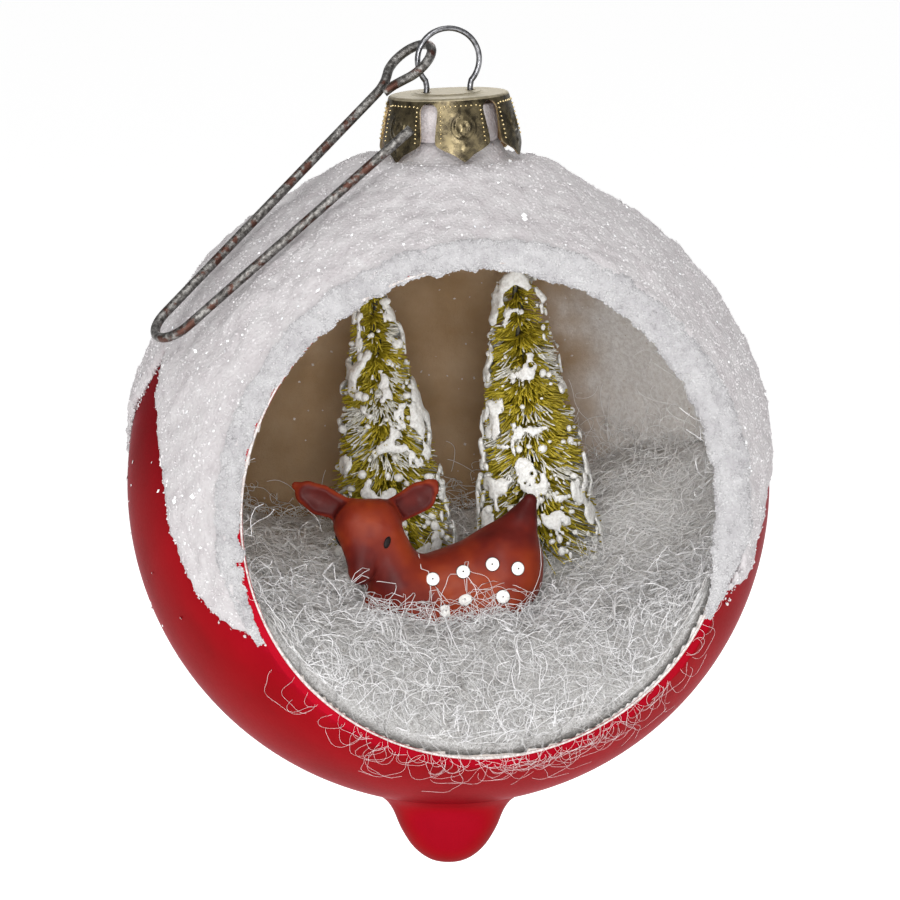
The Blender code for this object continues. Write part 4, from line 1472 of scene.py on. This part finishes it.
def make_bed():
    """The dense body of the fibre, which the loose strands lie on."""
    step = 0.62
    xs = np.arange(-48.0, 48.0, step)
    ys = np.arange(WINDOW_Y + 0.35, 48.0, step)
    y, x = np.meshgrid(ys, xs, indexing="ij")
    bowl = -np.sqrt(np.maximum(INSIDE_RADIUS**2 - x * x - y * y, 0.0))
    top = fluffy_height(x, y) - 0.9 + 0.5 * (noise(xyz(x, y, 0 * x), 0.9, 73) - 0.5)
    top = np.minimum(top, -bowl - 0.2)
    clear = (x * x + y * y < (INSIDE_RADIUS - 0.2) ** 2) & (top > bowl + 0.3)
    points, faces = slab(xyz(x, y, top), xyz(x, y, bowl), whole_cells(clear))
    add_piece("fibre_body", points, faces, [fibre_core()], "ornament", ["fibre_bed"])


def curl(start, heading, length, steps, tight, rng):
    """Curly walks from starts: a heading that keeps turning about a slowly changing axis."""
    count = len(start)
    stride = length / (steps - 1)
    axis = unit(rng.normal(size=(count, 3)))
    bend = rng.normal(0.0, 1.0, count) * tight
    way = unit(heading)
    path = [start]
    place = start
    for _ in range(steps - 1):
        axis = unit(axis + 0.35 * rng.normal(size=(count, 3)))
        bend = bend + 0.25 * tight * rng.normal(size=count)
        way = unit(way + np.cross(axis, way) * (bend * stride)[:, None])
        place = place + way * stride[:, None]
        path.append(place)
    return np.stack(path, axis=1)


def bed_facing(x, y):
    """The way that the bed's top faces."""
    nudge = 0.4
    slope_x = (fluffy_height(x + nudge, y) - fluffy_height(x - nudge, y)) / (2 * nudge)
    slope_y = (fluffy_height(x, y + nudge) - fluffy_height(x, y - nudge)) / (2 * nudge)
    return unit(xyz(-slope_x, -slope_y, np.ones_like(x)))


def lay_on_bed(paths, lift):
    """Presses strands on to the fibre body, each point at its own small height above it."""
    start = paths[:, :1]
    facing = bed_facing(start[..., 0], start[..., 1])
    away = paths - start
    places = start + away - 0.9 * facing * (away * facing).sum(axis=-1, keepdims=True)
    for _ in range(3):
        x, y, z = np.moveaxis(places, -1, 0)
        facing = bed_facing(x, y)
        gap = (z - fluffy_height(x, y) + 0.8) * facing[..., 2]
        places = places - facing * np.clip(gap, -3.0, 3.0)[..., None]
    wave = 0.6 + 0.4 * np.sin(np.linspace(0, 5, paths.shape[1]))
    places = places + facing * (lift[:, None] * wave)[..., None]
    places[..., 1] = np.maximum(places[..., 1], WINDOW_Y + 0.2)
    reach = np.linalg.norm(places, axis=-1, keepdims=True)
    return places * np.minimum(1.0, (INSIDE_RADIUS - 0.6) / reach)


def bed_places(count, rng):
    """Random places spread evenly over the bed's slopes, closer together at its front."""
    x = rng.uniform(-44, 44, count * 12)
    y = rng.uniform(WINDOW_Y + 0.4, 45, count * 12)
    share = 0.26 / bed_facing(x, y)[..., 2] * np.interp(y, [-10.0, 10.0], [1.0, 0.55])
    kept = (np.hypot(x, y) < 45) & (rng.random(len(x)) < share)
    return x[kept][:count], y[kept][:count]


def add_fibres(name, paths, radius, material):
    """A piece of thin strands, of one radius or of a radius each."""
    points, faces = tubes(paths, np.broadcast_to(radius, paths.shape[:2]))
    add_piece(name, points, faces, [material], "ornament")


def hold_at_wall(paths, depth):
    """Keeps strands inside the window and within a depth of the wall."""
    paths[..., 1] = np.maximum(paths[..., 1], WINDOW_Y + 0.6)
    reach = np.linalg.norm(paths, axis=-1, keepdims=True)
    return paths * np.clip(reach, INSIDE_RADIUS - depth, INSIDE_RADIUS - 0.3) / reach


def make_hair():
    """Loose curly strands: over the bed, up the walls, on the fawn and over the rim."""
    rng = np.random.default_rng(81)
    bright = angel_hair("angel_hair_bright", (0.66, 0.65, 0.65), (0.84, 0.83, 0.84))
    # Painted shade: the low layer gets a greyer copy of the hair, for the shade under the high strands.
    grey = angel_hair("angel_hair_shaded", (0.40, 0.38, 0.365), (0.66, 0.65, 0.64))
    for name, material, lift_by in (("hair_low", grey, 0.9), ("hair_high", bright, 2.2)):
        x, y = bed_places(2700, rng)
        lift = lift_by * rng.gamma(1.6, 0.55, len(x))
        start = xyz(x, y, fluffy_height(x, y))
        length = rng.uniform(6.0, 15.0, len(x))
        paths = curl(start, rng.normal(size=start.shape), length, 13, 0.8, rng)
        paths = clear_of_fawn(lay_on_bed(paths, lift))
        add_fibres(name, paths, 0.050 * rng.uniform(0.75, 1.25, (len(x), 1)), material)
    make_wall_wisps(bright, rng)
    make_edge_wisps(bright, rng)
    make_fawn_wisps(bright, rng)
    make_rim_loops(bright, rng)


def clear_of_fawn(paths):
    """Pushes strands that would run inside the fawn out to its skin."""
    flat = spin(paths, -FAWN_TURN).reshape(-1, 3)
    near = (np.abs(flat[:, 0] + 2) < 18) & (np.abs(flat[:, 1] + 12) < 10) & (flat[:, 2] < 0)
    some = flat[near]
    for _ in range(3):
        deep = fawn_field(some)
        push = np.maximum(0.12 - deep, 0.0)
        nudge = 0.1
        slope = xyz(*[fawn_field(some + nudge * way) - deep for way in np.eye(3)])
        some = some + unit(slope) * push[:, None]
    flat[near] = some
    return turn_fawn(flat).reshape(paths.shape)


def make_wall_wisps(material, rng):
    """Thin tangles on the walls, mostly on the right."""
    right, left = 900, 150
    count = right + left
    bearing = np.concatenate([
        rng.normal(math.radians(-8), 0.27, right), rng.normal(math.radians(194), 0.15, left),
    ])
    angle = RIM_ANGLE + np.abs(rng.normal(0.10, 0.55, count))
    start = about_window(bearing, angle, INSIDE_RADIUS - 0.6)
    heading = rng.normal(size=(count, 3))
    paths = curl(start, heading, rng.uniform(5.0, 13.0, count), 14, 0.6, rng)
    add_fibres("wall_wisps", hold_at_wall(paths, 2.6), 0.045, material)


def make_edge_wisps(material, rng):
    """Tangles along the line where the bed meets the wall, a quarter of them at the left."""
    count, shore = 750, 44.0
    turn = np.radians(rng.uniform(-22.0, 80.0, count))
    turn[: count // 4] = np.radians(rng.uniform(80.0, 200.0, count // 4))
    fringe = bed_height(shore * np.cos(turn), shore * np.sin(turn))
    height = fringe + rng.gamma(1.2, 2.2, count) - 1.0
    radius = np.sqrt((INSIDE_RADIUS - 0.6) ** 2 - height**2)
    start = xyz(radius * np.cos(turn), radius * np.sin(turn), height)
    paths = curl(start, rng.normal(size=(count, 3)), rng.uniform(4.0, 11.0, count), 14, 0.7, rng)
    add_fibres("edge_wisps", hold_at_wall(paths, 4.5), 0.05, material)


def smooth_loops(bearing, length, spread, turns, steps, rng):
    """Flat smooth curls that leave their start near a bearing: x and z from the start."""
    travel = length * np.linspace(0, 1, steps)
    turning = rng.choice([-1, 1], length.shape) * rng.uniform(*turns, length.shape) / length
    sway = 0.35 * np.sin(1.3 * travel + rng.uniform(0, 6, length.shape))
    heading = bearing + rng.normal(0.0, spread, length.shape) + turning * travel + sway
    stride = travel[:, 1:2]
    return np.cumsum(np.cos(heading), axis=1) * stride, np.cumsum(np.sin(heading), axis=1) * stride


def make_fawn_wisps(material, rng):
    """Fine curls that rise from the bed across the fawn's flank."""
    count, steps = 70, 26
    length = rng.uniform(4.0, 12.0, (count, 1))
    x, z = smooth_loops(math.pi / 2, length, 0.8, (1.8, 4.8), steps, rng)
    x = x + rng.uniform(-3.5, 13.0, (count, 1))
    z = z - 19.5 + rng.uniform(-0.8, 0.8, (count, 1))
    y = np.full(x.shape, -24.0)
    for _ in range(14):
        gap = fawn_field(xyz(x, y, z))
        y = np.minimum(y + 0.7 * (gap - 0.25), -15.0)
    y = y - 0.5 * rng.random((count, 1)) * np.sin(np.linspace(0, math.pi, steps))
    add_fibres("fawn_wisps", turn_fawn(xyz(x, y, z)), 0.030, material)


def make_rim_loops(material, rng):
    """Fine stray loops that hang out over the bottom rim, on the red glass."""
    count, steps = 125, 22
    bearing = rng.normal(math.radians(-80), 0.44, count)[:, None]
    radius = RIM_RADIUS - rng.uniform(0.0, 1.2, (count, 1))
    length = rng.uniform(4.0, 13.0, (count, 1))
    x, z = smooth_loops(bearing, length, 0.8, (1.8, 5.2), steps, rng)
    x = radius * np.cos(bearing) + x
    z = radius * np.sin(bearing) + z
    wide = np.hypot(x, z)
    past = np.maximum(wide - RIM_RADIUS, 0.0)
    held = np.where(past > 0, RIM_RADIUS + 7.0 * np.tanh(past / 7.0), wide)
    x, z = x * held / wide, z * held / wide
    lift = 0.3 + 0.6 * rng.random((count, 1)) * np.sin(np.linspace(0, math.pi, steps))
    surface = np.sqrt(BALL_RADIUS**2 - held**2)
    y = -np.minimum(surface, -WINDOW_Y) - lift
    add_fibres("rim_loops", xyz(x, y, z), 0.020, material)


# ---------------------------------------------------------------- CAD nodes that stay


def dress_frame():
    """Finishes for the CAD pieces that stay as they are: wires, foam and glue."""
    finishes = {"wire": stem_steel(), "foam": foam_cells(), "glue": plain_glue()}
    for name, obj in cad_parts.items():
        for word, material in finishes.items():
            if word in name:
                obj.data.materials.clear()
                obj.data.materials.append(material)


# ---------------------------------------------------------------- camera, light and floor


def make_camera():
    """The front view: from a little to the left and above, far off, through a long lens."""
    distance, lens = 1.2, 308.0
    forward = Vector((
        -math.sin(VIEW_TURN) * math.cos(VIEW_RISE), math.cos(VIEW_TURN) * math.cos(VIEW_RISE),
        -math.sin(VIEW_RISE),
    ))
    right = Vector((math.cos(VIEW_TURN), math.sin(VIEW_TURN), 0.0))
    up = right.cross(forward)
    aim = CENTRE + right * 0.25 * MM + up * 5.15 * MM
    camera = bpy.data.objects.new("camera", bpy.data.cameras.new("camera"))
    camera.data.lens = lens
    camera.data.sensor_width = 36.0
    camera.location = aim - forward * distance
    camera.rotation_euler = forward.to_track_quat("-Z", "Y").to_euler()
    bpy.context.scene.collection.objects.link(camera)
    bpy.context.scene.camera = camera


def area_light(name, place, power, size):
    """A soft box that points at the ball."""
    light = bpy.data.lights.new(name, "AREA")
    light.energy = power
    light.size = size
    obj = bpy.data.objects.new(name, light)
    obj.location = Vector(place)
    obj.rotation_euler = (CENTRE - Vector(place)).to_track_quat("-Z", "Y").to_euler()
    bpy.context.scene.collection.objects.link(obj)


# The floor, in metres: a disc well below the ball.
FLOOR_RADIUS, FLOOR_Z = 4.0, -0.26
# Each soft box: its place in metres, its power in watts and its size in metres.
LIGHTS = {
    "front": ((-0.20, -1.40, 0.02), 7.0, 0.35),
    "key": ((-0.35, -1.12, 0.72), 6.6, 0.5),
    "left": ((-0.85, -1.05, 0.22), 3.3, 0.5),
    "fill": ((0.75, -1.10, 0.10), 2.2, 0.6),
    "top": ((0.0, -0.35, 0.95), 2.6, 0.6),
    "back": ((0.3, 1.0, 0.4), 4.0, 0.6),
}


WHITE = (1.0, 1.0, 1.0, 1.0)


def make_studio():
    """A pale floor well below the hanging ball, a white room and six soft boxes."""
    world = bpy.data.worlds.new("studio")
    world.use_nodes = True
    tree = world.node_tree
    room = tree.nodes["Background"]
    room.inputs["Color"].default_value = WHITE
    room.inputs["Strength"].default_value = 0.38
    backdrop = tree.nodes.new("ShaderNodeBackground")
    backdrop.inputs["Color"].default_value = WHITE
    rays = tree.nodes.new("ShaderNodeLightPath")
    choice = tree.nodes.new("ShaderNodeMixShader")
    tree.links.new(rays.outputs["Is Camera Ray"], choice.inputs["Fac"])
    tree.links.new(room.outputs["Background"], choice.inputs[1])
    tree.links.new(backdrop.outputs["Background"], choice.inputs[2])
    tree.links.new(choice.outputs["Shader"], tree.nodes["World Output"].inputs["Surface"])
    bpy.context.scene.world = world
    for name, (place, power, size) in LIGHTS.items():
        area_light(name, place, power, size)
    bpy.context.scene.view_settings.view_transform = "Standard"

    floor = bpy.data.meshes.new("floor")
    ring = [(FLOOR_RADIUS * math.cos(a), FLOOR_RADIUS * math.sin(a), FLOOR_Z) for a in full_turn(96)]
    floor.from_pydata(ring, [], [list(range(len(ring)))])
    pale = make_material(
        "pale_floor", (0.93, 0.93, 0.93), 0.9, Emission_Color=WHITE, Emission_Strength=0.62
    )
    floor.materials.append(pale)
    obj = bpy.data.objects.new("floor", floor)
    bpy.context.scene.collection.objects.link(obj)


def build():
    """Everything, from the studio to the last strand."""
    make_camera()
    make_studio()
    dress_frame()
    make_ball()
    make_frost()
    make_crust()
    make_bead()
    make_grains()
    make_wall_specks()
    make_cap()
    make_ring()
    make_hook()
    paste = tree_snow()
    for side, seed in (("left", 101), ("right", 202)):
        make_bristles(side, seed)
        make_tree_snow(side, seed + 50, paste)
        make_tree_blobs(side, seed + 90, paste)
    make_fawn()
    make_bed()
    make_hair()


build()
